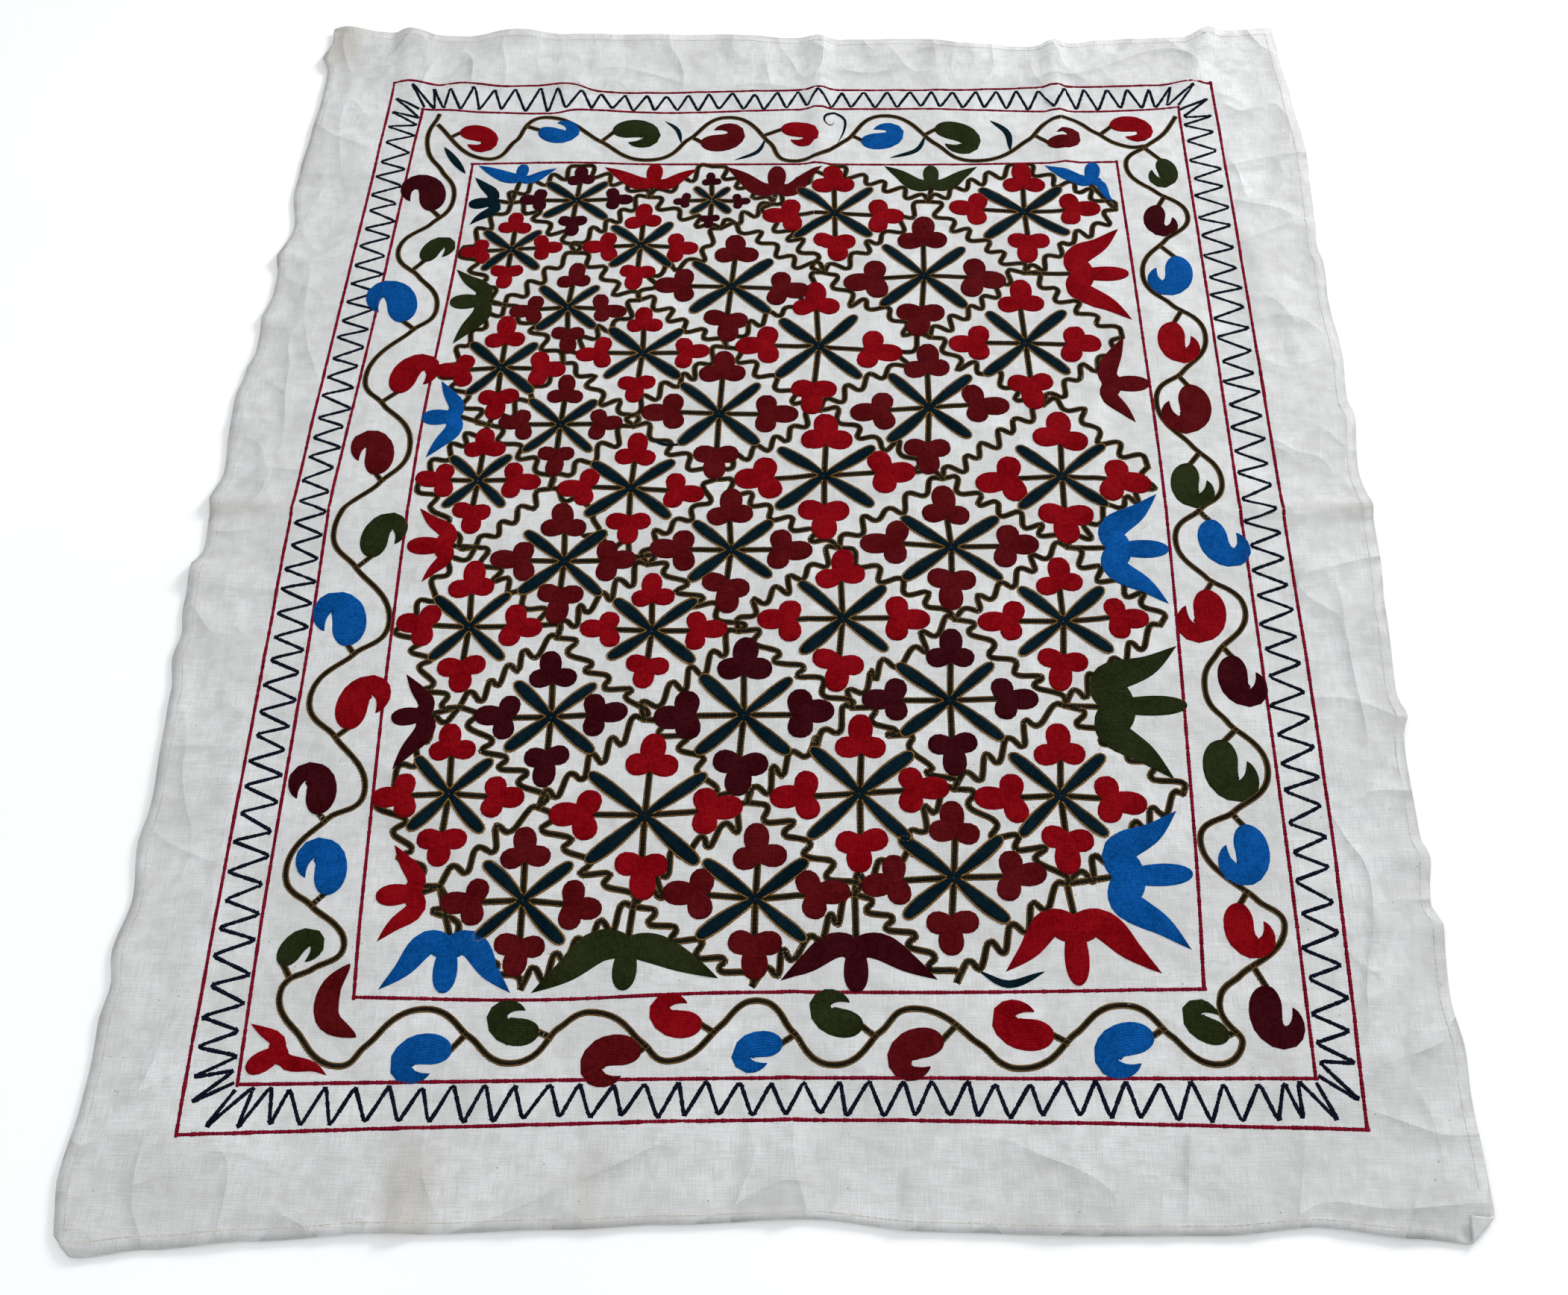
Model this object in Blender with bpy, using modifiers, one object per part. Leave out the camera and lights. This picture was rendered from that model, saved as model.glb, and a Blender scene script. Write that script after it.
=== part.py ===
"""A cream cotton bedspread cloth, spread out flat on a floor and a little rumpled.

It is one hemmed sheet.  Long creases from storage cross it, a few of them stand up
as low ridges at the far edge, and two corners are turned over on top of the cloth.
The stitched pattern has no height here.

Units are metres: X to the right, Y away from the viewer, Z up, with the origin on
the floor under the middle of the cloth.  The tables below are in centimetres.
"""
import math

import bmesh
import bpy
from mathutils import Vector

CM = 0.01

# The cloth's nominal rectangle, its thickness and its hem.
WIDTH = 139.0 * CM
LENGTH = 169.0 * CM
CLOTH_THICKNESS = 0.0013
HEM_THICKNESS = 0.0022
HEM_WIDTH = 1.2 * CM

# Spacing of the sheet's grid, and how far in from an edge its unevenness reaches.
GRID_STEP = 4.3 * CM
CLOSEST_LINES = 0.7 * CM
EDGE_REACH = 14.0 * CM
CORNER_CELL = 2.2 * CM
CORNER_CUTS = 5

# Extra grid lines that follow the crests and feet of the straight ridges.
RIDGE_COLUMNS = (-57.0, -36.2, 1.2, 3.6, 6.0, 35.9, 37.7, 39.4, 60.6)
RIDGE_ROWS = (-52.2, -44.6, -27.4, -8.4, -0.8, 0.7, 2.2, 14.0, 31.0, 41.2, 46.5, 79.7)

# Where the four edges lie.  Side edges: y, then x.  Near and far edges: x, then y.
LEFT_EDGE = (
    (-84.5, -68.3), (-83.1, -69.6), (-79.0, -70.3), (-72.0, -69.7), (-68.4, -69.6), (-63.7, -69.8),
    (-60.0, -69.4), (-56.3, -70.1), (-50.5, -69.2), (-43.7, -70.0), (-39.0, -69.5),
    (-30.0, -70.0), (-25.0, -70.2), (-20.3, -71.0), (-17.6, -70.5), (-14.0, -71.1),
    (-8.0, -71.1), (-5.5, -70.2), (0.0, -70.5), (2.1, -70.8), (5.8, -69.9),
    (12.0, -70.4), (17.5, -70.7), (22.0, -70.1), (25.0, -69.3), (31.0, -69.5),
    (35.0, -68.8), (38.5, -68.8), (41.3, -69.3), (46.8, -68.0), (53.7, -69.1),
    (58.0, -69.0), (65.0, -68.5), (73.0, -68.1), (77.4, -68.2), (79.6, -69.3),
    (82.4, -68.3), (87.0, -69.4),
)
RIGHT_EDGE = (
    (-84.0, 69.6), (-79.0, 69.5), (-70.0, 69.4), (-65.0, 69.7), (-60.0, 69.2),
    (-51.8, 69.7), (-50.0, 69.0), (-44.2, 69.7), (-42.0, 69.2), (-30.0, 69.3),
    (-27.2, 70.2), (-24.5, 69.6), (-15.0, 70.1), (-5.0, 70.7), (1.0, 70.8),
    (6.0, 70.1), (14.0, 70.8), (17.4, 70.4), (25.3, 70.9), (33.4, 70.4),
    (40.0, 70.8), (43.2, 70.3), (52.0, 70.9), (60.8, 71.3), (70.0, 70.7),
    (80.0, 70.0), (86.0, 69.6),
)
NEAR_EDGE = (
    (-69.5, -86.1), (-68.2, -86.9), (-60.0, -86.0), (-50.0, -85.1), (-38.0, -84.2), (-34.0, -84.2),
    (-20.0, -83.6), (-10.0, -83.0), (4.0, -82.3), (15.0, -83.3), (30.0, -83.5),
    (43.0, -83.3), (52.5, -82.4), (61.5, -83.3), (70.0, -84.0),
)
FAR_EDGE = (
    (-70.0, 86.9), (-64.0, 86.3), (-59.0, 85.9), (-50.0, 85.0), (-42.0, 85.5),
    (-25.0, 85.3), (-10.0, 85.1), (0.0, 84.3), (7.5, 83.8), (18.0, 83.9),
    (27.0, 82.8), (33.0, 82.1), (40.0, 82.7), (47.5, 83.5), (56.5, 83.8),
    (61.5, 85.2), (70.0, 85.7),
)

# Each fold is a row of stations: x, y, height of its crest, and how far it spreads on
# the side of lower x (or y, on a fold that runs across) and on the side of higher x.
FOLDS = {
    "middle ridge": (
        (3.6, 86.0, 0.90, 2.4, 2.6), (3.6, 73.0, 0.80, 2.2, 2.4), (3.4, 58.0, 0.40, 2.0, 2.2),
        (3.3, 20.0, 0.25, 2.0, 2.2), (2.8, -30.0, 0.20, 2.0, 2.0), (1.3, -84.0, 0.30, 1.4, 1.4),
    ),
    "right ridge": (
        (37.7, 85.0, 1.25, 2.4, 1.9), (37.5, 73.0, 0.70, 2.2, 1.8), (38.2, 56.0, 0.30, 2.0, 1.7),
        (38.4, 0.0, 0.20, 1.9, 1.7), (37.4, -60.0, 0.10, 1.9, 1.7),
    ),
    "slanting tuck": (
        (60.7, 87.0, 1.40, 4.0, 1.3), (60.0, 82.0, 1.10, 3.6, 1.5), (58.0, 76.0, 0.80, 3.4, 2.0),
        (55.5, 72.5, 0.60, 3.2, 2.6), (54.0, 67.0, 0.00, 3.0, 2.6),
    ),
    "far left swell": (
        (-57.0, 88.0, 1.30, 2.8, 4.0), (-56.4, 82.0, 1.00, 2.8, 4.0), (-55.4, 75.5, 0.80, 3.0, 3.8),
        (-54.0, 68.0, 0.00, 2.6, 3.4),
    ),
    "second swell": (
        (-40.5, 87.0, 1.00, 6.5, 6.5), (-43.5, 80.0, 0.70, 5.0, 5.5), (-47.8, 74.5, 0.70, 3.4, 4.2),
        (-50.0, 67.0, 0.00, 3.0, 3.6),
    ),
    "third swell": (
        (-33.0, 79.0, 0.00, 3.6, 3.6), (-32.8, 74.0, 0.50, 3.8, 4.2), (-32.0, 68.0, 0.00, 3.0, 3.4),
    ),
    "corner rise": (
        (-65.5, 88.5, 0.80, 3.6, 4.2), (-66.0, 84.0, 0.55, 3.6, 3.8), (-66.5, 77.0, 0.00, 3.0, 3.0),
    ),
    "left edge pucker": ((-71.0, 79.7, 0.70, 1.8, 2.0), (-65.0, 78.6, 0.00, 1.6, 1.8)),
    "cross fold, left": (
        (-72.0, 1.4, 0.60, 1.7, 1.5), (-64.0, 0.6, 0.45, 1.5, 1.5), (-52.0, 0.4, 0.20, 1.4, 1.4),
        (-14.0, 0.5, 0.00, 1.4, 1.4),
    ),
    "cross fold, right": (
        (16.0, 0.6, 0.00, 1.4, 1.4), (52.0, 0.6, 0.20, 1.4, 1.4), (62.0, 0.8, 0.50, 1.5, 1.3),
        (72.0, 1.0, 0.90, 1.8, 1.2),
    ),
    "right tuck, far": ((60.0, 38.5, 0.00, 2.0, 2.0), (65.0, 43.5, 0.35, 2.2, 2.0),
                        (72.0, 47.0, 0.55, 2.6, 2.0)),
    "right tuck, middle": ((59.0, 7.5, 0.00, 2.0, 2.0), (65.0, 10.0, 0.35, 2.2, 2.0),
                           (68.5, 13.5, 0.60, 2.2, 1.8), (72.0, 16.0, 0.50, 2.2, 1.8)),
    "right tuck, near": ((60.0, -35.5, 0.00, 2.0, 2.0), (66.0, -31.5, 0.40, 2.2, 2.0),
                         (71.5, -27.2, 0.90, 2.2, 1.8)),
    "right swell, near": ((59.0, -53.0, 0.00, 2.0, 2.0), (71.0, -52.0, 0.55, 2.4, 2.2)),
    "right swell, low": ((58.0, -44.5, 0.00, 1.8, 1.8), (71.0, -44.6, 0.55, 2.0, 2.0)),
    "left swell": ((-72.5, -8.4, 0.80, 3.0, 2.2), (-66.0, -9.5, 0.45, 3.4, 2.6),
                   (-58.0, -11.0, 0.00, 3.0, 2.6)),
    "left pucker, far": ((-71.0, 41.2, 0.55, 1.8, 1.6), (-66.0, 42.0, 0.00, 1.6, 1.4)),
    "left pucker, middle": ((-71.5, 31.0, 0.45, 1.8, 1.6), (-64.0, 30.0, 0.00, 1.6, 1.4)),
    "near edge ridge": ((-36.0, -72.0, 0.00, 1.6, 1.8), (-36.2, -79.0, 0.30, 1.7, 2.2),
                        (-36.2, -86.0, 0.45, 1.8, 2.4)),
}

# Corners turned over on the cloth: two points on the fold line, with the corner on the
# left of the way from start to end, the radius of the roll, and how far the turned part
# rises for each length past the roll.
TURNED_CORNERS = (
    {"start": (69.6, -80.7), "end": (66.2, -83.9), "radius": 0.30, "opening": 0.10},
    {"start": (-69.7, 84.9), "end": (-66.9, 87.2), "radius": 0.35, "opening": 0.16},
)


def smooth_between(low, high, share):
    """Go from one value to the other without a kink at either end."""
    eased = share * share * (3.0 - 2.0 * share)
    return low + (high - low) * eased


def edge_at(table, along):
    """Read an edge table, in metres, at one place along the edge."""
    position = along / CM
    for (start, first), (end, second) in zip(table, table[1:]):
        if position <= end:
            share = min(max((position - start) / (end - start), 0.0), 1.0)
            return smooth_between(first, second, share) * CM
    return table[-1][1] * CM


def reach_of_edge(distance):
    """How strongly an edge pulls a point at this distance inside it, from 1 to 0."""
    return max(0.0, 1.0 - distance / EDGE_REACH) ** 2


def lay_out(x, y):
    """Move a point of the nominal rectangle to its place inside the uneven edges."""
    half_width = WIDTH / 2
    half_length = LENGTH / 2
    left = (edge_at(LEFT_EDGE, y) + half_width) * reach_of_edge(x + half_width)
    right = (edge_at(RIGHT_EDGE, y) - half_width) * reach_of_edge(half_width - x)
    near = (edge_at(NEAR_EDGE, x) + half_length) * reach_of_edge(y + half_length)
    far = (edge_at(FAR_EDGE, x) - half_length) * reach_of_edge(half_length - y)
    return x + left + right, y + near + far


def height_of_fold(stations, x, y):
    """Height that one fold gives to a point, all in centimetres."""
    best = None
    for first, second in zip(stations, stations[1:]):
        run_x = second[0] - first[0]
        run_y = second[1] - first[1]
        share = ((x - first[0]) * run_x + (y - first[1]) * run_y) / (run_x ** 2 + run_y ** 2)
        share = min(max(share, 0.0), 1.0)
        off_x = x - first[0] - share * run_x
        off_y = y - first[1] - share * run_y
        distance = math.hypot(off_x, off_y)
        if best is None or distance < best[0]:
            crest, low_side, high_side = (
                a + (b - a) * share for a, b in zip(first[2:], second[2:]))
            on_high_side = off_x * -run_y + off_y * run_x > 0.0
            best = (distance, crest, high_side if on_high_side else low_side)
    distance, crest, spread = best
    if distance >= spread:
        return 0.0
    return crest * (1.0 - (distance / spread) ** 2) ** 2


def cloth_height(x, y):
    """Height of the cloth's underside over the floor."""
    return CM * sum(height_of_fold(stations, x / CM, y / CM) for stations in FOLDS.values())


def turn_corner(point, corner):
    """Wrap what lies past a corner's fold line round a small roll and lay it back on top."""
    start = Vector((*corner["start"], 0.0)) * CM
    end = Vector((*corner["end"], 0.0)) * CM
    radius = corner["radius"] * CM
    along = (end - start).normalized()
    outward = Vector((-along.y, along.x, 0.0))
    past = (Vector((point.x, point.y, 0.0)) - start).dot(outward)
    if past <= 0.0:
        return point
    angle = min(past / radius, math.pi)
    beyond = max(past - math.pi * radius, 0.0)
    sideways = radius * math.sin(angle) - beyond
    lifted = radius * (1.0 - math.cos(angle)) + corner["opening"] * beyond
    return point + outward * (sideways - past) + Vector((0.0, 0.0, lifted))


def grid_lines(length, extra):
    """Evenly spread lines over a length, with the extra ones put among them."""
    half = length / 2
    fixed = [-half, -half + HEM_WIDTH, -half + CORNER_CELL + HEM_WIDTH]
    fixed += [-value for value in fixed]
    fixed += [value * CM for value in extra]
    count = round(length / GRID_STEP)
    even = [-half + length * step / count for step in range(count + 1)]
    free = [value for value in even if all(abs(value - line) > CLOSEST_LINES for line in fixed)]
    return sorted(fixed + free)


def flat_grid():
    """A flat sheet of cells, close together where ridges, hems and corners need them."""
    columns = grid_lines(WIDTH, RIDGE_COLUMNS)
    rows = grid_lines(LENGTH, RIDGE_ROWS)
    across = len(columns) - 1
    along = len(rows) - 1
    sheet = bmesh.new()
    bmesh.ops.create_grid(sheet, x_segments=across, y_segments=along, size=0.5)
    for vertex in sheet.verts:
        column = round((vertex.co.x + 0.5) * across)
        row = round((vertex.co.y + 0.5) * along)
        vertex.co = (columns[column], rows[row], 0.0)
    refine_turned_corners(sheet)
    return sheet


def refine_turned_corners(sheet):
    """Cut the cells at the two turned corners small enough to bend round a roll."""
    reach_x = WIDTH / 2 - CORNER_CELL - HEM_WIDTH - CLOSEST_LINES / 2
    reach_y = LENGTH / 2 - CORNER_CELL - HEM_WIDTH - CLOSEST_LINES / 2
    chosen = []
    for edge in sheet.edges:
        ends = [vertex.co for vertex in edge.verts]
        near_right = all(end.x > reach_x and end.y < -reach_y for end in ends)
        far_left = all(end.x < -reach_x and end.y > reach_y for end in ends)
        if near_right or far_left:
            chosen.append(edge)
    bmesh.ops.subdivide_edges(sheet, edges=chosen, cuts=CORNER_CUTS, use_grid_fill=True)
    bmesh.ops.triangulate(sheet, faces=[face for face in sheet.faces if len(face.verts) > 4])


def hem_weight(x, y):
    """1 on the doubled hem, 0 on the single cloth inside it."""
    inside = min(WIDTH / 2 - abs(x), LENGTH / 2 - abs(y))
    return 1.0 if inside < HEM_WIDTH * 0.5 else 0.0


def cotton():
    """Unbleached cotton, dull and pale."""
    material = bpy.data.materials.new("cotton")
    material.use_nodes = True
    shader = material.node_tree.nodes["Principled BSDF"]
    shader.inputs["Base Color"].default_value = (0.66, 0.64, 0.60, 1.0)
    shader.inputs["Roughness"].default_value = 0.92
    shader.inputs["Metallic"].default_value = 0.0
    return material


def build_cloth(collection):
    """The whole cloth: an open sheet laid in its folds, then given its thickness."""
    sheet = flat_grid()
    hem_weights = []
    for vertex in sheet.verts:
        hem_weights.append(hem_weight(vertex.co.x, vertex.co.y))
        x, y = lay_out(vertex.co.x, vertex.co.y)
        point = Vector((x, y, cloth_height(x, y)))
        for corner in TURNED_CORNERS:
            point = turn_corner(point, corner)
        vertex.co = point
    mesh = bpy.data.meshes.new("cloth")
    sheet.to_mesh(mesh)
    sheet.free()
    mesh.shade_smooth()
    mesh.materials.append(cotton())
    cloth = bpy.data.objects.new("cloth", mesh)
    collection.objects.link(cloth)

    hem = cloth.vertex_groups.new(name="hem")
    for index, weight in enumerate(hem_weights):
        hem.add([index], weight, "REPLACE")
    thickness = cloth.modifiers.new("thickness", "SOLIDIFY")
    thickness.thickness = HEM_THICKNESS
    thickness.offset = 1.0
    thickness.vertex_group = "hem"
    thickness.thickness_vertex_group = CLOTH_THICKNESS / HEM_THICKNESS
    return cloth


def main():
    for obj in list(bpy.data.objects):
        bpy.data.objects.remove(obj, do_unlink=True)
    collection = bpy.data.collections.new("suzani_quilt")
    bpy.context.scene.collection.children.link(collection)
    build_cloth(collection)


main()
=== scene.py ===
# %% [markdown]
# A suzani is a cotton cloth covered with chain stitch: flowers and leaves filled with rows of
# stitches, and long lines of one or three rows between them. This lesson builds one that lies
# on a floor. The CAD model is loaded first, because the cloth has to lie in the same folds.

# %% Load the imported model
import math
import random

import bmesh
import bpy
from mathutils import Matrix, Vector, noise
from mathutils.bvhtree import BVHTree


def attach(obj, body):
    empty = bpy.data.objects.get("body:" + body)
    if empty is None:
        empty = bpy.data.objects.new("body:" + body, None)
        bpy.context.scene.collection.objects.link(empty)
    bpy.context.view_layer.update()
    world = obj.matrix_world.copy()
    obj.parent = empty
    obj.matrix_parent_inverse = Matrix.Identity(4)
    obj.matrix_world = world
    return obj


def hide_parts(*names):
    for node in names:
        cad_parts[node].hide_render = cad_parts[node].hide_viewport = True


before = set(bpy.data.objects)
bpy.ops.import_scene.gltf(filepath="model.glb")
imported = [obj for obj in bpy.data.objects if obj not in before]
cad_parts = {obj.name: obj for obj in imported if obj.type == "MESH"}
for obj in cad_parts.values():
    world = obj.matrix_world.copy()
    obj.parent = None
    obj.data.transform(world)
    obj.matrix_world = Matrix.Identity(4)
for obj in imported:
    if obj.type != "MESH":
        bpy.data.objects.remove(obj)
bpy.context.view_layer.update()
CM = 0.01
scene = bpy.context.scene
scene.view_settings.view_transform = "Standard"

# %% [markdown]
# The photograph was taken from standing height, looking down at a slant over the near edge. The
# camera could be aimed with a constraint, but three angles and a place are easier to read.

# %% The camera
EYE = Vector((0.057, -1.121, 1.643))
YAW, TILT, ROLL = (math.radians(angle) for angle in (-3.31, 60.33, -2.63))
FOCAL_PIXELS = 2184.0
IMAGE_WIDTH = 2102.0
SENSOR_WIDTH = 36.0

forward = Vector((math.sin(YAW) * math.cos(TILT), math.cos(YAW) * math.cos(TILT), -math.sin(TILT)))
level = Vector((math.cos(YAW), -math.sin(YAW), 0.0))
upright = level.cross(forward)
right = level * math.cos(ROLL) + upright * math.sin(ROLL)
up = upright * math.cos(ROLL) - level * math.sin(ROLL)

camera = bpy.data.objects.new("camera", bpy.data.cameras.new("camera"))
camera.data.sensor_width = SENSOR_WIDTH
camera.data.lens = SENSOR_WIDTH * FOCAL_PIXELS / IMAGE_WIDTH
camera.matrix_world = Matrix.Translation(EYE) @ Matrix((right, up, -forward)).transposed().to_4x4()
scene.collection.objects.link(camera)
scene.camera = camera
print("lens", round(camera.data.lens, 2), "mm")

# %% [markdown]
# The cloth is one length of cotton, 139 by 169 cm, with a narrow hem. It could be simulated, but
# it was smoothed out by hand on the floor, so its edges and folds are listed one by one as well.
# Each table row of an edge is a place along it, then where the edge lies there, in centimetres.

# %% Edges of the cloth
WIDTH = 139.0 * CM
LENGTH = 169.0 * CM
EDGE_REACH = 14.0 * CM

LEFT_EDGE = (
    (-84.5, -68.3), (-83.1, -69.6), (-79.0, -70.3), (-72.0, -69.7), (-68.4, -69.6), (-63.7, -69.8),
    (-60.0, -69.4), (-56.3, -70.1), (-50.5, -69.2), (-43.7, -70.0), (-39.0, -69.5),
    (-30.0, -70.0), (-25.0, -70.2), (-20.3, -71.0), (-17.6, -70.5), (-14.0, -71.1),
    (-8.0, -71.1), (-5.5, -70.2), (0.0, -70.5), (2.1, -70.8), (5.8, -69.9),
    (12.0, -70.4), (17.5, -70.7), (22.0, -70.1), (25.0, -69.3), (31.0, -69.5),
    (35.0, -68.8), (38.5, -68.8), (41.3, -69.3), (46.8, -68.0), (53.7, -69.1),
    (58.0, -69.0), (65.0, -68.5), (73.0, -68.1), (77.4, -68.2), (79.6, -69.3),
    (82.4, -68.3), (87.0, -69.4),
)
RIGHT_EDGE = (
    (-84.0, 69.6), (-79.0, 69.5), (-70.0, 69.4), (-65.0, 69.7), (-60.0, 69.2),
    (-51.8, 69.7), (-50.0, 69.0), (-44.2, 69.7), (-42.0, 69.2), (-30.0, 69.3),
    (-27.2, 70.2), (-24.5, 69.6), (-15.0, 70.1), (-5.0, 70.7), (1.0, 70.8),
    (6.0, 70.1), (14.0, 70.8), (17.4, 70.4), (25.3, 70.9), (33.4, 70.4),
    (40.0, 70.8), (43.2, 70.3), (52.0, 70.9), (60.8, 71.3), (70.0, 70.7),
    (80.0, 70.0), (86.0, 69.6),
)
NEAR_EDGE = (
    (-69.5, -86.1), (-68.2, -86.9), (-60.0, -86.0), (-50.0, -85.1), (-38.0, -84.2), (-34.0, -84.2),
    (-20.0, -83.6), (-10.0, -83.0), (4.0, -82.3), (15.0, -83.3), (30.0, -83.5),
    (43.0, -83.3), (52.5, -82.4), (61.5, -83.3), (70.0, -84.0),
)
FAR_EDGE = (
    (-70.0, 86.9), (-64.0, 86.3), (-59.0, 85.9), (-50.0, 85.0), (-42.0, 85.5),
    (-25.0, 85.3), (-10.0, 85.1), (0.0, 84.3), (7.5, 83.8), (18.0, 83.9),
    (27.0, 82.8), (33.0, 82.1), (40.0, 82.7), (47.5, 83.5), (56.5, 83.8),
    (61.5, 85.2), (70.0, 85.7),
)


def edge_at(table, along):
    """Read an edge table, in metres, at one place along the edge."""
    position = along / CM
    for (start, first), (end, second) in zip(table, table[1:]):
        if position <= end:
            share = min(max((position - start) / (end - start), 0.0), 1.0)
            eased = share * share * (3.0 - 2.0 * share)
            return (first + (second - first) * eased) * CM
    return table[-1][1] * CM


def edge_pull(distance):
    """How strongly an edge pulls a point at this distance inside it, from 1 to 0."""
    return max(0.0, 1.0 - distance / EDGE_REACH) ** 2


def lay_out(x, y):
    """Move a point of the cut rectangle to its place inside the uneven edges."""
    half_width, half_length = WIDTH / 2, LENGTH / 2
    left = (edge_at(LEFT_EDGE, y) + half_width) * edge_pull(x + half_width)
    right_side = (edge_at(RIGHT_EDGE, y) - half_width) * edge_pull(half_width - x)
    near = (edge_at(NEAR_EDGE, x) + half_length) * edge_pull(y + half_length)
    far = (edge_at(FAR_EDGE, x) - half_length) * edge_pull(half_length - y)
    return x + left + right_side, y + near + far


print("edge points read:", sum(len(table) for table in (LEFT_EDGE, RIGHT_EDGE, NEAR_EDGE, FAR_EDGE)))

# %% [markdown]
# Folding for storage left ridges, and smoothing the cloth out pushed small swells to its edges.
# Each fold is a soft ridge along a few stations: x, y, height, and its spread on each side. A
# second table holds the faint storage creases, at most 1.4 mm high, with one spread for both.

# %% Folds and creases
FOLDS = (
    ((3.6, 86.0, 0.90, 2.4, 2.6), (3.6, 73.0, 0.80, 2.2, 2.4), (3.4, 58.0, 0.40, 2.0, 2.2),
     (3.3, 20.0, 0.25, 2.0, 2.2), (2.8, -30.0, 0.20, 2.0, 2.0), (1.3, -84.0, 0.30, 1.4, 1.4)),
    ((37.7, 85.0, 1.25, 2.4, 1.9), (37.5, 73.0, 0.70, 2.2, 1.8), (38.2, 56.0, 0.30, 2.0, 1.7),
     (38.4, 0.0, 0.20, 1.9, 1.7), (37.4, -60.0, 0.10, 1.9, 1.7)),
    ((60.7, 87.0, 1.40, 4.0, 1.3), (60.0, 82.0, 1.10, 3.6, 1.5), (58.0, 76.0, 0.80, 3.4, 2.0),
     (55.5, 72.5, 0.60, 3.2, 2.6), (54.0, 67.0, 0.00, 3.0, 2.6)),
    ((-57.0, 88.0, 1.30, 2.8, 4.0), (-56.4, 82.0, 1.00, 2.8, 4.0), (-55.4, 75.5, 0.80, 3.0, 3.8),
     (-54.0, 68.0, 0.00, 2.6, 3.4)),
    ((-40.5, 87.0, 1.00, 6.5, 6.5), (-43.5, 80.0, 0.70, 5.0, 5.5), (-47.8, 74.5, 0.70, 3.4, 4.2),
     (-50.0, 67.0, 0.00, 3.0, 3.6)),
    ((-33.0, 79.0, 0.00, 3.6, 3.6), (-32.8, 74.0, 0.50, 3.8, 4.2), (-32.0, 68.0, 0.00, 3.0, 3.4)),
    ((-65.5, 88.5, 0.80, 3.6, 4.2), (-66.0, 84.0, 0.55, 3.6, 3.8), (-66.5, 77.0, 0.00, 3.0, 3.0)),
    ((-71.0, 79.7, 0.70, 1.8, 2.0), (-65.0, 78.6, 0.00, 1.6, 1.8)),
    ((-72.0, 1.4, 0.60, 1.7, 1.5), (-64.0, 0.6, 0.45, 1.5, 1.5), (-52.0, 0.4, 0.20, 1.4, 1.4),
     (-14.0, 0.5, 0.00, 1.4, 1.4)),
    ((16.0, 0.6, 0.00, 1.4, 1.4), (52.0, 0.6, 0.20, 1.4, 1.4), (62.0, 0.8, 0.50, 1.5, 1.3),
     (72.0, 1.0, 0.90, 1.8, 1.2)),
    ((60.0, 38.5, 0.00, 2.0, 2.0), (65.0, 43.5, 0.35, 2.2, 2.0), (72.0, 47.0, 0.55, 2.6, 2.0)),
    ((59.0, 7.5, 0.00, 2.0, 2.0), (65.0, 10.0, 0.35, 2.2, 2.0), (68.5, 13.5, 0.60, 2.2, 1.8),
     (72.0, 16.0, 0.50, 2.2, 1.8)),
    ((60.0, -35.5, 0.00, 2.0, 2.0), (66.0, -31.5, 0.40, 2.2, 2.0), (71.5, -27.2, 0.90, 2.2, 1.8)),
    ((59.0, -53.0, 0.00, 2.0, 2.0), (71.0, -52.0, 0.55, 2.4, 2.2)),
    ((58.0, -44.5, 0.00, 1.8, 1.8), (71.0, -44.6, 0.55, 2.0, 2.0)),
    ((-72.5, -8.4, 0.80, 3.0, 2.2), (-66.0, -9.5, 0.45, 3.4, 2.6), (-58.0, -11.0, 0.00, 3.0, 2.6)),
    ((-71.0, 41.2, 0.55, 1.8, 1.6), (-66.0, 42.0, 0.00, 1.6, 1.4)),
    ((-71.5, 31.0, 0.45, 1.8, 1.6), (-64.0, 30.0, 0.00, 1.6, 1.4)),
    ((-36.0, -72.0, 0.00, 1.6, 1.8), (-36.2, -79.0, 0.30, 1.7, 2.2), (-36.2, -86.0, 0.45, 1.8, 2.4)),
)
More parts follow.
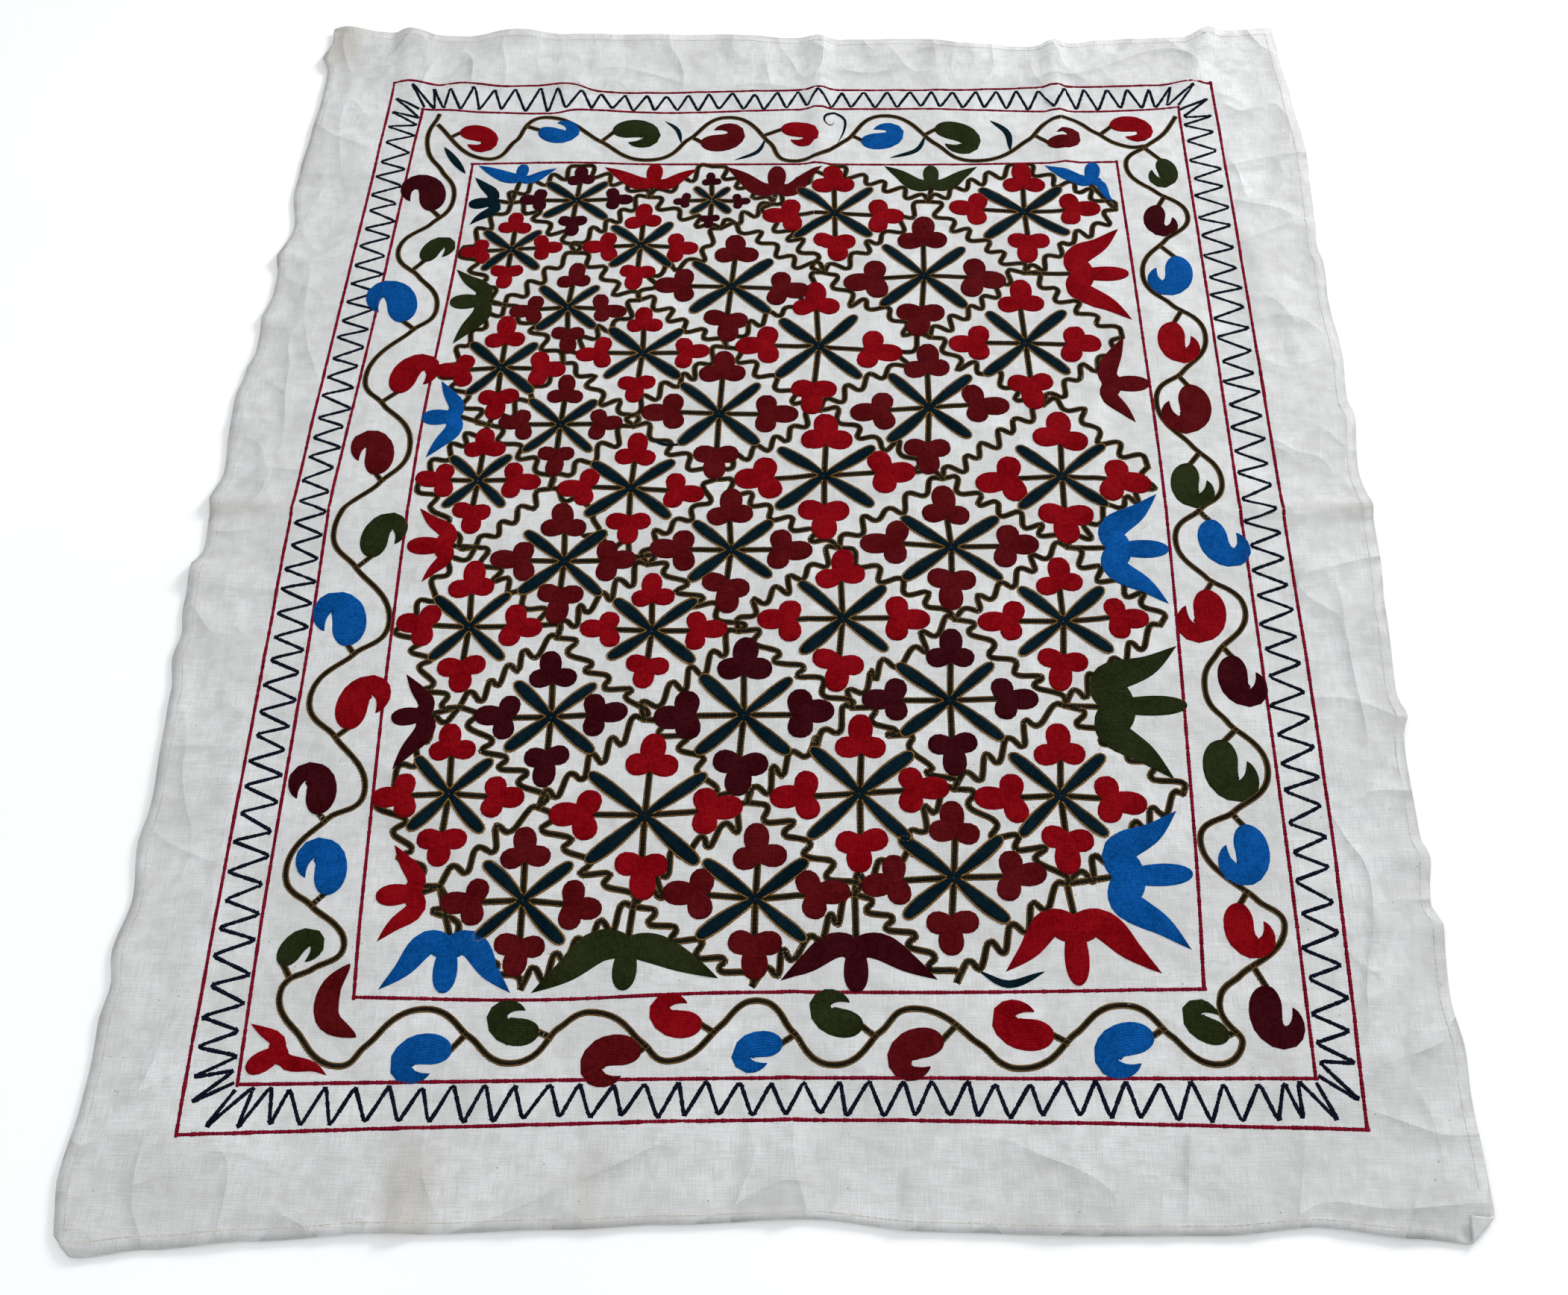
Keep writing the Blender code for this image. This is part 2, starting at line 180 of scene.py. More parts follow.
CREASE_LINES = (
    ((-36.4, -86.0, 0.07, 1.2), (-36.2, 20.0, 0.04, 1.2), (-35.6, 86.0, 0.05, 1.2)),
    ((-17.6, -86.0, 0.06, 1.6), (-17.0, -62.0, 0.02, 1.2)),
    ((20.2, -86.0, 0.05, 1.3), (20.8, 86.0, 0.05, 1.3)),
    ((-72.0, -52.2, 0.08, 1.4), (0.0, -52.6, 0.03, 1.3), (72.0, -52.0, 0.08, 1.4)),
    ((-72.0, -27.4, 0.06, 1.3), (72.0, -27.6, 0.06, 1.3)),
    ((-72.0, 22.4, 0.06, 1.3), (72.0, 23.0, 0.06, 1.3)),
    ((-72.0, 41.2, 0.06, 1.3), (72.0, 46.6, 0.06, 1.3)),
    ((-72.0, 63.0, 0.05, 1.3), (72.0, 64.0, 0.05, 1.3)),
    ((-52.0, 88.0, 0.10, 1.4), (-46.0, 77.0, 0.10, 1.6), (-43.0, 70.0, 0.00, 1.2)),
    ((-62.0, 84.0, 0.12, 1.8), (-60.0, 74.0, 0.08, 1.6), (-60.0, 60.0, 0.00, 1.2)),
    ((44.0, 84.0, 0.10, 2.0), (46.0, 74.0, 0.04, 1.8), (47.0, 66.0, 0.00, 1.2)),
    ((28.0, 84.0, 0.10, 2.2), (29.0, 72.0, 0.00, 1.6)),
    ((62.0, -20.0, 0.00, 1.4), (66.0, -18.0, 0.12, 1.6), (71.0, -14.0, 0.14, 1.8)),
    ((60.0, 27.0, 0.00, 1.4), (66.0, 30.0, 0.12, 1.6), (72.0, 34.0, 0.14, 1.8)),
    ((-72.0, -38.0, 0.14, 2.0), (-66.0, -40.0, 0.10, 1.8), (-60.0, -41.0, 0.00, 1.4)),
    ((-72.0, 14.0, 0.12, 1.8), (-66.0, 12.0, 0.10, 1.6), (-61.0, 11.0, 0.00, 1.4)),
)
CREASES = tuple(tuple((*station, station[-1]) for station in line) for line in CREASE_LINES)


def fold_height(stations, x, y):
    """Height that one fold gives to a point, all in centimetres."""
    best = None
    for first, second in zip(stations, stations[1:]):
        run_x, run_y = second[0] - first[0], second[1] - first[1]
        share = ((x - first[0]) * run_x + (y - first[1]) * run_y) / (run_x ** 2 + run_y ** 2)
        share = min(max(share, 0.0), 1.0)
        off_x = x - first[0] - share * run_x
        off_y = y - first[1] - share * run_y
        distance = math.hypot(off_x, off_y)
        if best is None or distance < best[0]:
            crest, low_side, high_side = (
                a + (b - a) * share for a, b in zip(first[2:], second[2:]))
            on_high_side = off_x * -run_y + off_y * run_x > 0.0
            best = (distance, crest, high_side if on_high_side else low_side)
    distance, crest, spread = best
    if distance >= spread:
        return 0.0
    return crest * (1.0 - (distance / spread) ** 2) ** 2


FIELD_HALF_WIDTH, FIELD_HALF_LENGTH, BORDER_FADE = 52.0, 66.0, 10.0
BROAD_RISE, FINE_RISE, RIDGE_RISE = (0.05, 0.14), (0.02, 0.05), 0.16


def swell(x, y, across, along, place):
    """Smooth noise from -1 to 1, with swells of the given size in centimetres."""
    return noise.noise(Vector((x / across, y / along, place)))


def rumple(x, y):
    """A slight unevenness all over, stronger in the plain border, in centimetres."""
    past_field = max(abs(x) - FIELD_HALF_WIDTH, abs(y) - FIELD_HALF_LENGTH)
    border = min(max(past_field / BORDER_FADE, 0.0), 1.0)
    broad = swell(x, y, 11.0, 9.0, 3.1) * 0.5 + 0.5
    fine = swell(x, y, 3.6, 3.0, 8.4) * 0.5 + 0.5
    ridge = 1.0 - abs(swell(x, y, 8.0, 12.0, 5.7)) * 2.0
    return ((BROAD_RISE[0] + BROAD_RISE[1] * border) * broad
            + (FINE_RISE[0] + FINE_RISE[1] * border) * fine + RIDGE_RISE * border * ridge ** 3)


def cloth_height(x, y):
    """Height of the cloth's underside over the floor, in metres."""
    x, y = x / CM, y / CM
    folds = sum(fold_height(stations, x, y) for stations in FOLDS + CREASES)
    return CM * (folds + rumple(x, y))


print("folds", len(FOLDS), "faint creases", len(CREASES))

# %% [markdown]
# The sheet starts as a flat grid of cells about a centimetre wide. Two corners of the real cloth
# are turned over: there the grid is cut finer, so that it can be wrapped round a small roll.

# %% The flat sheet
CELL = 1.05 * CM
CLOTH_THICKNESS = 0.0013
HEM_THICKNESS = 0.0022
HEM_WIDTH = 1.2 * CM
HEM_GRID_LINE = HEM_WIDTH * 0.9
CORNER_REACH = 4.0 * CM
CORNER_CUTS = 4
TURNED_CORNERS = (
    {"start": (69.6, -80.7), "end": (66.2, -83.9), "radius": 0.30, "opening": 0.10},
    {"start": (-69.7, 84.9), "end": (-66.9, 87.2), "radius": 0.35, "opening": 0.16},
)


def turn_corner(point, corner):
    """Wrap what lies past a corner's fold line round a small roll, back on top of the cloth."""
    start = Vector((*corner["start"], 0.0)) * CM
    end = Vector((*corner["end"], 0.0)) * CM
    radius = corner["radius"] * CM
    along = (end - start).normalized()
    outward = Vector((-along.y, along.x, 0.0))
    past = (Vector((point.x, point.y, 0.0)) - start).dot(outward)
    if past <= 0.0:
        return point
    angle = min(past / radius, math.pi)
    beyond = max(past - math.pi * radius, 0.0)
    sideways = radius * math.sin(angle) - beyond
    lifted = radius * (1.0 - math.cos(angle)) + corner["opening"] * beyond
    return point + outward * (sideways - past) + Vector((0.0, 0.0, lifted))


def grid_lines(length):
    """Even lines over a length, with one moved near the hem's inner edge on each side."""
    count = round(length / CELL)
    lines = [-length / 2 + length * step / count for step in range(count + 1)]
    lines[1] = lines[0] + HEM_GRID_LINE
    lines[-2] = -lines[1]
    return lines


def flat_sheet():
    """The flat grid, cut finer at the two corners that are turned over."""
    columns, rows = grid_lines(WIDTH), grid_lines(LENGTH)
    across, along = len(columns) - 1, len(rows) - 1
    sheet = bmesh.new()
    bmesh.ops.create_grid(sheet, x_segments=across, y_segments=along, size=0.5)
    for vertex in sheet.verts:
        column = round((vertex.co.x + 0.5) * across)
        row = round((vertex.co.y + 0.5) * along)
        vertex.co = (columns[column], rows[row], 0.0)
    limit_x, limit_y = WIDTH / 2 - CORNER_REACH, LENGTH / 2 - CORNER_REACH
    chosen = []
    for edge in sheet.edges:
        ends = [vertex.co for vertex in edge.verts]
        near_right = all(end.x > limit_x and end.y < -limit_y for end in ends)
        far_left = all(end.x < -limit_x and end.y > limit_y for end in ends)
        if near_right or far_left:
            chosen.append(edge)
    bmesh.ops.subdivide_edges(sheet, edges=chosen, cuts=CORNER_CUTS, use_grid_fill=True)
    bmesh.ops.triangulate(sheet, faces=[face for face in sheet.faces if len(face.verts) > 4])
    return sheet


print("columns and rows of the flat sheet", len(grid_lines(WIDTH)), len(grid_lines(LENGTH)))

# %% [markdown]
# Laying the cloth moves each point of the flat sheet into the uneven edges, up on the folds and
# round the rolls. Solidify gives it its thickness, more at the hem, where the cotton is folded
# double. Rays read the top face later, so the modifier is worked into the mesh.

# %% Lay the cloth
def lay_cloth():
    """The cloth in its folds, as one closed mesh."""
    sheet = flat_sheet()
    hem_weights = []
    for vertex in sheet.verts:
        inside = min(WIDTH / 2 - abs(vertex.co.x), LENGTH / 2 - abs(vertex.co.y))
        hem_weights.append(1.0 if inside < HEM_WIDTH / 2 else 0.0)
        x, y = lay_out(vertex.co.x, vertex.co.y)
        point = Vector((x, y, cloth_height(x, y)))
        for corner in TURNED_CORNERS:
            point = turn_corner(point, corner)
        vertex.co = point
    mesh = bpy.data.meshes.new("ground_cloth")
    sheet.to_mesh(mesh)
    sheet.free()
    mesh.shade_smooth()
    cloth = bpy.data.objects.new("ground_cloth", mesh)
    scene.collection.objects.link(cloth)
    hem = cloth.vertex_groups.new(name="hem")
    for index, weight in enumerate(hem_weights):
        hem.add([index], weight, "REPLACE")
    body = cloth.modifiers.new("thickness", "SOLIDIFY")
    body.thickness = HEM_THICKNESS
    body.offset = 1.0
    body.vertex_group = "hem"
    body.thickness_vertex_group = CLOTH_THICKNESS / HEM_THICKNESS
    return cloth


def frozen(piece):
    """The piece with its modifiers worked into its mesh."""
    evaluated = piece.evaluated_get(bpy.context.evaluated_depsgraph_get())
    mesh = bpy.data.meshes.new_from_object(evaluated)
    piece.modifiers.clear()
    piece.data = mesh
    mesh.name = piece.name
    return piece


ground_cloth = frozen(lay_cloth())
print("ground cloth", len(ground_cloth.data.polygons), "faces")

# %% [markdown]
# Everything sewn on the cloth has to lie on it, over every ridge. The pattern could be projected
# by a Shrinkwrap modifier. It is drawn flat, in centimetres, and each point is dropped on the
# finished cloth with a ray, because then a stitch can also be lifted by a chosen height.

# %% Drop the pattern on the cloth
cloth_tree = BVHTree.FromPolygons(
    [vertex.co.copy() for vertex in ground_cloth.data.vertices],
    [tuple(polygon.vertices) for polygon in ground_cloth.data.polygons])
RAY_START = 0.2
DOWN = Vector((0.0, 0.0, -1.0))


def on_cloth(x, y, lift=0.0):
    """The point over a place of the pattern, lifted off the cloth, in metres."""
    hit = cloth_tree.ray_cast(Vector((x * CM, y * CM, RAY_START)), DOWN)[0]
    height = hit.z if hit is not None else CLOTH_THICKNESS
    return Vector((x * CM, y * CM, height + lift))


print("cloth top in the middle", round(on_cloth(0.0, -14.0).z * 1000, 2), "mm")

# %% [markdown]
# Shader maths is easier to read as expressions than as a web of nodes. A small class wraps a
# socket, and each operator on it adds one Math node.

# %% A class for shader maths
class Wire:
    """A value in a shader tree that can be used in an expression."""

    def __init__(self, tree, socket):
        self.tree = tree
        self.socket = socket

    def math(self, operation, other, swapped=False):
        node = self.tree.nodes.new("ShaderNodeMath")
        node.operation = operation
        operands = (other, self) if swapped else (self, other)
        for slot, operand in zip(node.inputs, operands):
            if isinstance(operand, Wire):
                self.tree.links.new(operand.socket, slot)
            else:
                slot.default_value = operand
        return Wire(self.tree, node.outputs[0])

    def __add__(self, other):
        return self.math("ADD", other)

    __radd__ = __add__

    def __sub__(self, other):
        return self.math("SUBTRACT", other)

    def __rsub__(self, other):
        return self.math("SUBTRACT", other, swapped=True)

    def __mul__(self, other):
        return self.math("MULTIPLY", other)

    __rmul__ = __mul__

    def __truediv__(self, other):
        return self.math("DIVIDE", other)

    def __pow__(self, other):
        return self.math("POWER", other)

    def __mod__(self, other):
        return self.math("FLOORED_MODULO", other)

    def size(self):
        """The value without its sign."""
        return self.math("ABSOLUTE", 0.0)

    def over(self, limit, soft):
        """0 below a limit, 1 above it, with a soft step of the given width."""
        return self.node("ShaderNodeMapRange", {"clamp": True, "interpolation_type": "SMOOTHSTEP"},
                         {0: self, 1: limit - soft / 2, 2: limit + soft / 2, 3: 0.0, 4: 1.0})

    def node(self, kind, settings=None, values=None, output=0):
        """Add any node: its settings first, then the values or links of its sockets."""
        made = self.tree.nodes.new(kind)
        for name, setting in (settings or {}).items():
            setattr(made, name, setting)
        for key, value in (values or {}).items():
            if isinstance(value, Wire):
                self.tree.links.new(value.socket, made.inputs[key])
            else:
                made.inputs[key].default_value = value
        return Wire(self.tree, made.outputs[output])


print("operators ready")

# %% [markdown]
# Every finish starts from the same few helpers: a material with its shader, a mix of two colours,
# soft noise and a relief.

# %% Helpers for the finishes
def new_finish(name, roughness, sheen=0.0, specular=0.12):
    """A material, its shader, and the object's own coordinates as a wire."""
    finish = bpy.data.materials.new(name)
    finish.use_nodes = True
    shader = finish.node_tree.nodes["Principled BSDF"]
    shader.inputs["Roughness"].default_value = roughness
    shader.inputs["Sheen Weight"].default_value = sheen
    shader.inputs["Sheen Roughness"].default_value = 0.5
    shader.inputs["Specular IOR Level"].default_value = specular
    start = Wire(finish.node_tree, None)
    place = start.node("ShaderNodeTexCoord", output=3)
    return finish, shader, place


def opaque(red, green, blue):
    """A colour with its fourth part, which a colour socket wants."""
    return (red, green, blue, 1.0)


def mixed(share, first, second):
    """Two colours through a Mix node."""
    return share.node("ShaderNodeMix", {"data_type": "RGBA"}, {0: share, 6: first, 7: second}, output=2)


def bumped(height, strength, distance, below=None):
    """Relief from a height, on top of another relief if one is given."""
    values = {"Strength": strength, "Distance": distance, "Height": height}
    if below is not None:
        values["Normal"] = below
    return height.node("ShaderNodeBump", {}, values)


def clouds(place, scale, detail=3.0, seed=0.0):
    """Soft noise from 0 to 1 on the given coordinates."""
    moved = place.node("ShaderNodeMapping", {}, {0: place, 1: (seed, seed * 0.7, 0.0)})
    return place.node("ShaderNodeTexNoise", {}, {"Vector": moved, "Scale": scale, "Detail": detail})


print("helpers ready")

# %% [markdown]
# The ground is plain-woven, unbleached cotton. Its yarns are uneven, so it shows slubs both ways
# and some specks of seed husk, and a faint brown tinge darkens a few creases and the turned far
# left corner. An image would be easier, but a pattern of nodes stays sharp at any distance.

# %% Finish of the cotton
YARN = 0.0011
SLUB_SCALE = 900.0
DULL_COTTON, PALE_COTTON = opaque(0.600, 0.606, 0.608), opaque(0.730, 0.742, 0.750)
SLUB_GREY, BLOTCH_GREY = opaque(0.47, 0.465, 0.45), opaque(0.46, 0.45, 0.43)
TINGE_BROWN, HUSK_BROWN = opaque(0.38, 0.33, 0.26), opaque(0.16, 0.11, 0.06)
cotton, cotton_shader, place = new_finish("unbleached_cotton", 0.9, sheen=0.12)


def part_of(place, axis):
    """One of the three coordinates."""
    return place.node("ShaderNodeSeparateXYZ", {}, {0: place}, output=axis)


def yarns(place, axis, stretch):
    """Long slubs that run across one axis."""
    scales = [stretch, stretch, stretch]
    scales[axis] = 1.0
    thin = place.node("ShaderNodeMapping", {}, {0: place, 3: tuple(scales)})
    return place.node("ShaderNodeTexNoise", {}, {"Vector": thin, "Scale": SLUB_SCALE, "Detail": 2.0})


def band(value, low, high, soft):
    """1 between two limits, 0 outside them."""
    return value.over(low, soft) * (1.0 - value.over(high, soft))


across, along = part_of(place, 0), part_of(place, 1)
weft = yarns(place, 1, 0.035)
warp = yarns(place, 0, 0.045)
blotch = clouds(place, 9.0, 4.0)
small_blotch = clouds(place, 55.0, 3.0, 2.0)
seeds = place.node("ShaderNodeTexVoronoi", {"feature": "F1"}, {"Vector": place, "Scale": 95.0})
speck = 1.0 - seeds.over(0.075, 0.03)
rare = clouds(place, 30.0, 1.0, 5.0).over(0.60, 0.02)
print("yarns, blotches and specks of the cotton are ready")

# %% [markdown]
# The tinge lies in a few bands along the old creases. Each has its limits and softness across
# the cloth, the same along it, and a strength. One more band follows the middle fold.

# %% Colour of the cotton
TINGE_BANDS = (
    (-0.378, -0.330, 0.022, -0.90, -0.76, 0.07, 0.8),
    (-0.190, -0.165, 0.012, -0.90, -0.76, 0.05, 0.5),
    (-0.720, -0.640, 0.030, 0.79, 0.90, 0.04, 1.0),
)
tinge = band(along, -0.004, 0.016, 0.012) * (across * across).over(0.40, 0.2) * 0.5
for left, right_end, soft_x, near, far, soft_y, strength in TINGE_BANDS:
    tinge = tinge + band(across, left, right_end, soft_x) * band(along, near, far, soft_y) * strength
tinge = tinge * (0.45 + 0.7 * blotch)
tone = mixed(blotch.over(0.5, 0.5), DULL_COTTON, PALE_COTTON)
tone = mixed((weft * 0.5 + warp * 0.5).over(0.5, 0.36) * 0.62, tone, SLUB_GREY)
tone = mixed(small_blotch.over(0.55, 0.25) * 0.34, tone, BLOTCH_GREY)
tone = mixed(tinge * 0.55, tone, TINGE_BROWN)
tone = mixed(speck * rare * 0.75, tone, HUSK_BROWN)
cotton.node_tree.links.new(tone.socket, cotton_shader.inputs["Base Color"])
print("tinge bands", len(TINGE_BANDS) + 1)

# %% [markdown]
# The relief has two sizes. Yarns and weave are well under a millimetre deep. Wrinkles are wider
# and softer, and sharp creases cross the plain border, where no embroidery stiffens the cotton.

# %% Relief of the cotton
WEAVE_DEPTH = 0.0007
WRINKLE_DEPTH = 0.007
PLAIN_BEYOND_X, PLAIN_BEYOND_Y, PLAIN_SOFT = 0.60, 0.74, 0.04


def creased(place, scale, seed, stretch):
    """Thin sharp ridges where a noise crosses its middle value."""
    pulled = place.node("ShaderNodeMapping", {}, {0: place, 1: (seed, seed, 0.0), 3: stretch})
    soft = place.node("ShaderNodeTexNoise", {}, {"Vector": pulled, "Scale": scale, "Detail": 1.2})
    return 1.0 - ((soft - 0.5).size() * 8.0).math("MINIMUM", 1.0)


wave_x, wave_y = ((part * (math.pi / YARN)).math("SINE", 0.0) for part in (across, along))
surface = wave_x * wave_y * 0.5 + weft * 0.8 + warp * 0.7 + small_blotch * 1.2
weave = bumped(surface, 0.8, WEAVE_DEPTH)
plain_border = across.size().over(PLAIN_BEYOND_X, PLAIN_SOFT).math(
    "MAXIMUM", along.size().over(PLAIN_BEYOND_Y, PLAIN_SOFT))
creasing = creased(place, 3.6, 3.0, (1.0, 2.0, 1.0)) ** 2.0
creasing = creasing + creased(place, 4.2, 8.0, (2.2, 1.0, 1.0)) ** 2.0
wrinkle = clouds(place, 13.0, 3.0, 9.0) * 1.3 + clouds(place, 5.0, 2.0, 6.0) * 2.4
wrinkle = wrinkle + creasing * (0.10 + 0.50 * plain_border)
relief = bumped(wrinkle, 1.0, WRINKLE_DEPTH, below=weave)
cotton.node_tree.links.new(relief.socket, cotton_shader.inputs["Normal"])
ground_cloth.data.materials.clear()
ground_cloth.data.materials.append(cotton)
print("cotton finish has", len(cotton.node_tree.nodes), "nodes")

# %% [markdown]
# The threads are wool or soft silk, dyed in a few strong colours. Filled shapes are worked in
# rows of chain stitch, so their finish reads a UV map that runs along the rows: it paints shade
# into the grooves between rows and into the chevrons that the loops make, and sinks them in the
# relief. Line stitches are modelled one by one, so their finish needs only fibre and uneven dye.

# %% Finishes of the threads
ROW = 0.30 * CM
LOOP = 0.42 * CM


def yarn_finish(name, colour, filled):
    """Dyed thread. Filled shapes also get their rows and loops, with painted shade between them, from the
    UV map.
    """
    finish, shader, place = new_finish(name, 0.85, specular=0.02)
    deep = opaque(*(channel * 0.66 for channel in colour))
    bright = opaque(*(min(channel * 1.16 + 0.003, 1.0) for channel in colour))
    dye = clouds(place, 26.0, 3.0) * 0.6 + clouds(place, 240.0, 2.0, 4.0) * 0.7
    shade = mixed(dye.over(0.65, 0.5), deep, bright)
    relief = clouds(place, 1900.0, 2.0) * 0.35
    if filled:
        rows = place.node("ShaderNodeUVMap", {"uv_map": "rows"})
        run, row = part_of(rows, 0) / LOOP, part_of(rows, 1) / ROW
        from_middle = ((row % 1.0) - 0.5).size()
        chevron = (run + from_middle * 1.1) % 1.0
        groove = from_middle.over(0.40, 0.2)
        tuck = 1.0 - chevron.over(0.12, 0.2)
        # Painted shade and relief: the grooves between rows and the tucks of the loops are mixed towards a
        # dark copy of the dye below, and sunk in the relief.
        hollow_shade_and_depth = groove + tuck * 0.7 * (1.0 - groove)
        shade = mixed(hollow_shade_and_depth * 0.55, shade, opaque(*(channel * 0.35 for channel in colour)))
        relief = relief + (1.0 - hollow_shade_and_depth) * 1.1
    finish.node_tree.links.new(shade.socket, shader.inputs["Base Color"])
    finish.node_tree.links.new(bumped(relief, 0.7, 0.0006).socket, shader.inputs["Normal"])
    return finish


def dyed(red, green, blue):
    """A colour given in the 0 to 255 numbers of a colour picker, as the shader needs it."""
    parts = (red / 255, green / 255, blue / 255)
    return tuple(part / 12.92 if part < 0.04045 else ((part + 0.055) / 1.055) ** 2.4 for part in parts)


DYES = {name: dyed(*colour) for name, colour in {
    "crimson": (126, 1, 12), "wine": (82, 7, 12), "plum": (52, 2, 10), "blue": (3, 76, 146),
    "olive": (35, 41, 17), "teal": (2, 24, 34), "brown": (94, 70, 37), "ochre": (122, 88, 42),
    "umber": (22, 20, 13), "navy": (10, 14, 30), "madder": (114, 8, 32), "ecru": (196, 190, 176),
}.items()}
print("dyes:", ", ".join(DYES))

# %% [markdown]
# Lines and shapes both start from a few given points. A Bezier curve object could join
# them, but a small function gives plain points that can be cut, moved and measured.

# %% Smooth lines
def line_length(line):
    """Length of a line, in centimetres."""
    return sum((b - a).length for a, b in zip(line, line[1:]))


def smooth_line(points, step, pulls=(0.5, 0.5)):
    """A curve through given points. The pulls widen the bends at even and odd points."""
    ends = [2 * Vector(points[0]) - Vector(points[1])]
    ends += [Vector(point) for point in points]
    ends += [2 * Vector(points[-1]) - Vector(points[-2])]
    line = []
    for index, (before, start, end, after) in enumerate(zip(ends, ends[1:], ends[2:], ends[3:])):
        count = max(2, round((end - start).length / step))
        leave = (end - before) * pulls[index % 2]
        arrive = (after - start) * pulls[(index + 1) % 2]
        for piece in range(count):
            t = piece / count
            line.append(start * (2 * t ** 3 - 3 * t ** 2 + 1) + leave * (t ** 3 - 2 * t ** 2 + t)
                        + end * (3 * t ** 2 - 2 * t ** 3) + arrive * (t ** 3 - t ** 2))
    line.append(ends[-2])
    return line


def at_shares(line, shares):
    """Points and directions at given shares of a line's length."""
    lengths = [0.0]
    for first, second in zip(line, line[1:]):
        lengths.append(lengths[-1] + (second - first).length)
    found = []
    segment = 0
    for share in shares:
        goal = share * lengths[-1]
        while segment < len(line) - 2 and lengths[segment + 1] < goal:
            segment += 1
        first, second = line[segment], line[segment + 1]
        span = max(lengths[segment + 1] - lengths[segment], 1e-9)
        t = min(max((goal - lengths[segment]) / span, 0.0), 1.0)
        found.append((first.lerp(second, t), (second - first).normalized(), goal))
    return found


print("line helpers ready")

# %% [markdown]
# A filled shape is worked from its root to its tip in rows that spread in the middle and meet at
# both ends, like the veins of a long leaf. One function makes them all: a spine, a width along
# it, and real ridges for the rows. The underside is closed just inside the cloth.

# %% Filled shapes
STATION = 0.45
PILE = 0.0014
SINK = -0.0003
FULL_FROM = 0.35
GROOVE = 0.66
patches = {}


def fill_shape(dye, spine, half_width, profile):
    """Add one filled shape to the patches of its dye."""
    line = smooth_line(spine, STATION)
    stations = max(6, round(line_length(line) / STATION))
    shares = [(1.0 - math.cos(math.pi * i / stations)) / 2 for i in range(stations + 1)]
    rows = max(2, round(2 * half_width / (ROW / CM)))
    steps = 2 * rows
    store = patches.setdefault(dye, {"points": [], "faces": [], "uvs": []})
    points = store["points"]
    base = len(points)
    spots = at_shares(line, shares)
    for (centre, direction, _), share in list(zip(spots, shares))[1:-1]:
        side = Vector((-direction.y, direction.x))
        width = half_width * profile(share)
        fullness = min(1.0, width / FULL_FROM)
        for step in range(steps + 1):
            sideways = 2.0 * step / steps - 1.0
            spot = centre + side * (sideways * width)
            crown = (1.0 - sideways ** 4) ** 0.5
            ridge = 1.0 if step % 2 else GROOVE
            lift = SINK if step in (0, steps) else PILE * fullness * crown * ridge
            points.append(on_cloth(spot.x, spot.y, lift))
    poles = {0: len(points), stations: len(points) + 1}
    points.append(on_cloth(*spots[0][0], SINK))
    points.append(on_cloth(*spots[-1][0], SINK))

    def add_face(*corners):
        """A face through corners that are given as station and step."""
        store["faces"].append([poles.get(station, base + (station - 1) * (steps + 1) + step)
                               for station, step in corners])
        store["uvs"] += [(spots[station][2] * CM, step / 2 * ROW) for station, step in corners]

    for station in range(1, stations - 1):
        after = station + 1
        for step in range(steps):
            add_face((after, step), (after, step + 1), (station, step + 1), (station, step))
        add_face((station, 0), (station, steps), (after, steps), (after, 0))
    last = stations - 1
    for step in range(steps):
        add_face((1, step), (1, step + 1), (0, step + 0.5))
    add_face((1, steps), (1, 0), (0, rows))
    for step in range(steps):
        add_face((stations, step + 0.5), (last, step + 1), (last, step))
    add_face((stations, rows), (last, 0), (last, steps))


print("ridges rise", PILE * 1000, "mm")

# %% [markdown]
# What tells a petal from a bar is only its width along the spine. Each profile gives that width
# from 0 at the root to 1 at the tip, as a share of the shape's half width.

# %% Profiles of the shapes
def round_lobe(t):
    """Round at both ends, fuller towards the tip."""
    return (4 * t * (1 - t)) ** 0.5 * (0.72 + 0.42 * t)


def straight_bar(t):
    """Nearly even, thin at the root, with round ends."""
    return (math.sin(math.pi * t)) ** 0.32 * (0.56 + 0.52 * t)


def pointed_petal(t):
    """Full near the root and drawn out to a point."""
    return 2.25 * t ** 0.5 * (1 - t) ** 1.05 if t > 0.0 else 0.0


def paisley_body(t):
    """A plump body with a blunt end, and a tail that thins round the curl."""
    blunt = (1 - (1 - min(t / 0.24, 1.0)) ** 2) ** 0.5
    thinning = min(max((t - 0.30) / 0.70, 0.0), 1.0)
    return blunt * (1 - thinning ** 1.5) ** 0.8


def cushion(t):
    """Round at both ends and as full on both halves."""
    return (4 * t * (1 - t)) ** 0.5


def crescent(t):
    """Thin at both ends."""
    return math.sin(math.pi * t) ** 0.7


print("shape profiles ready")
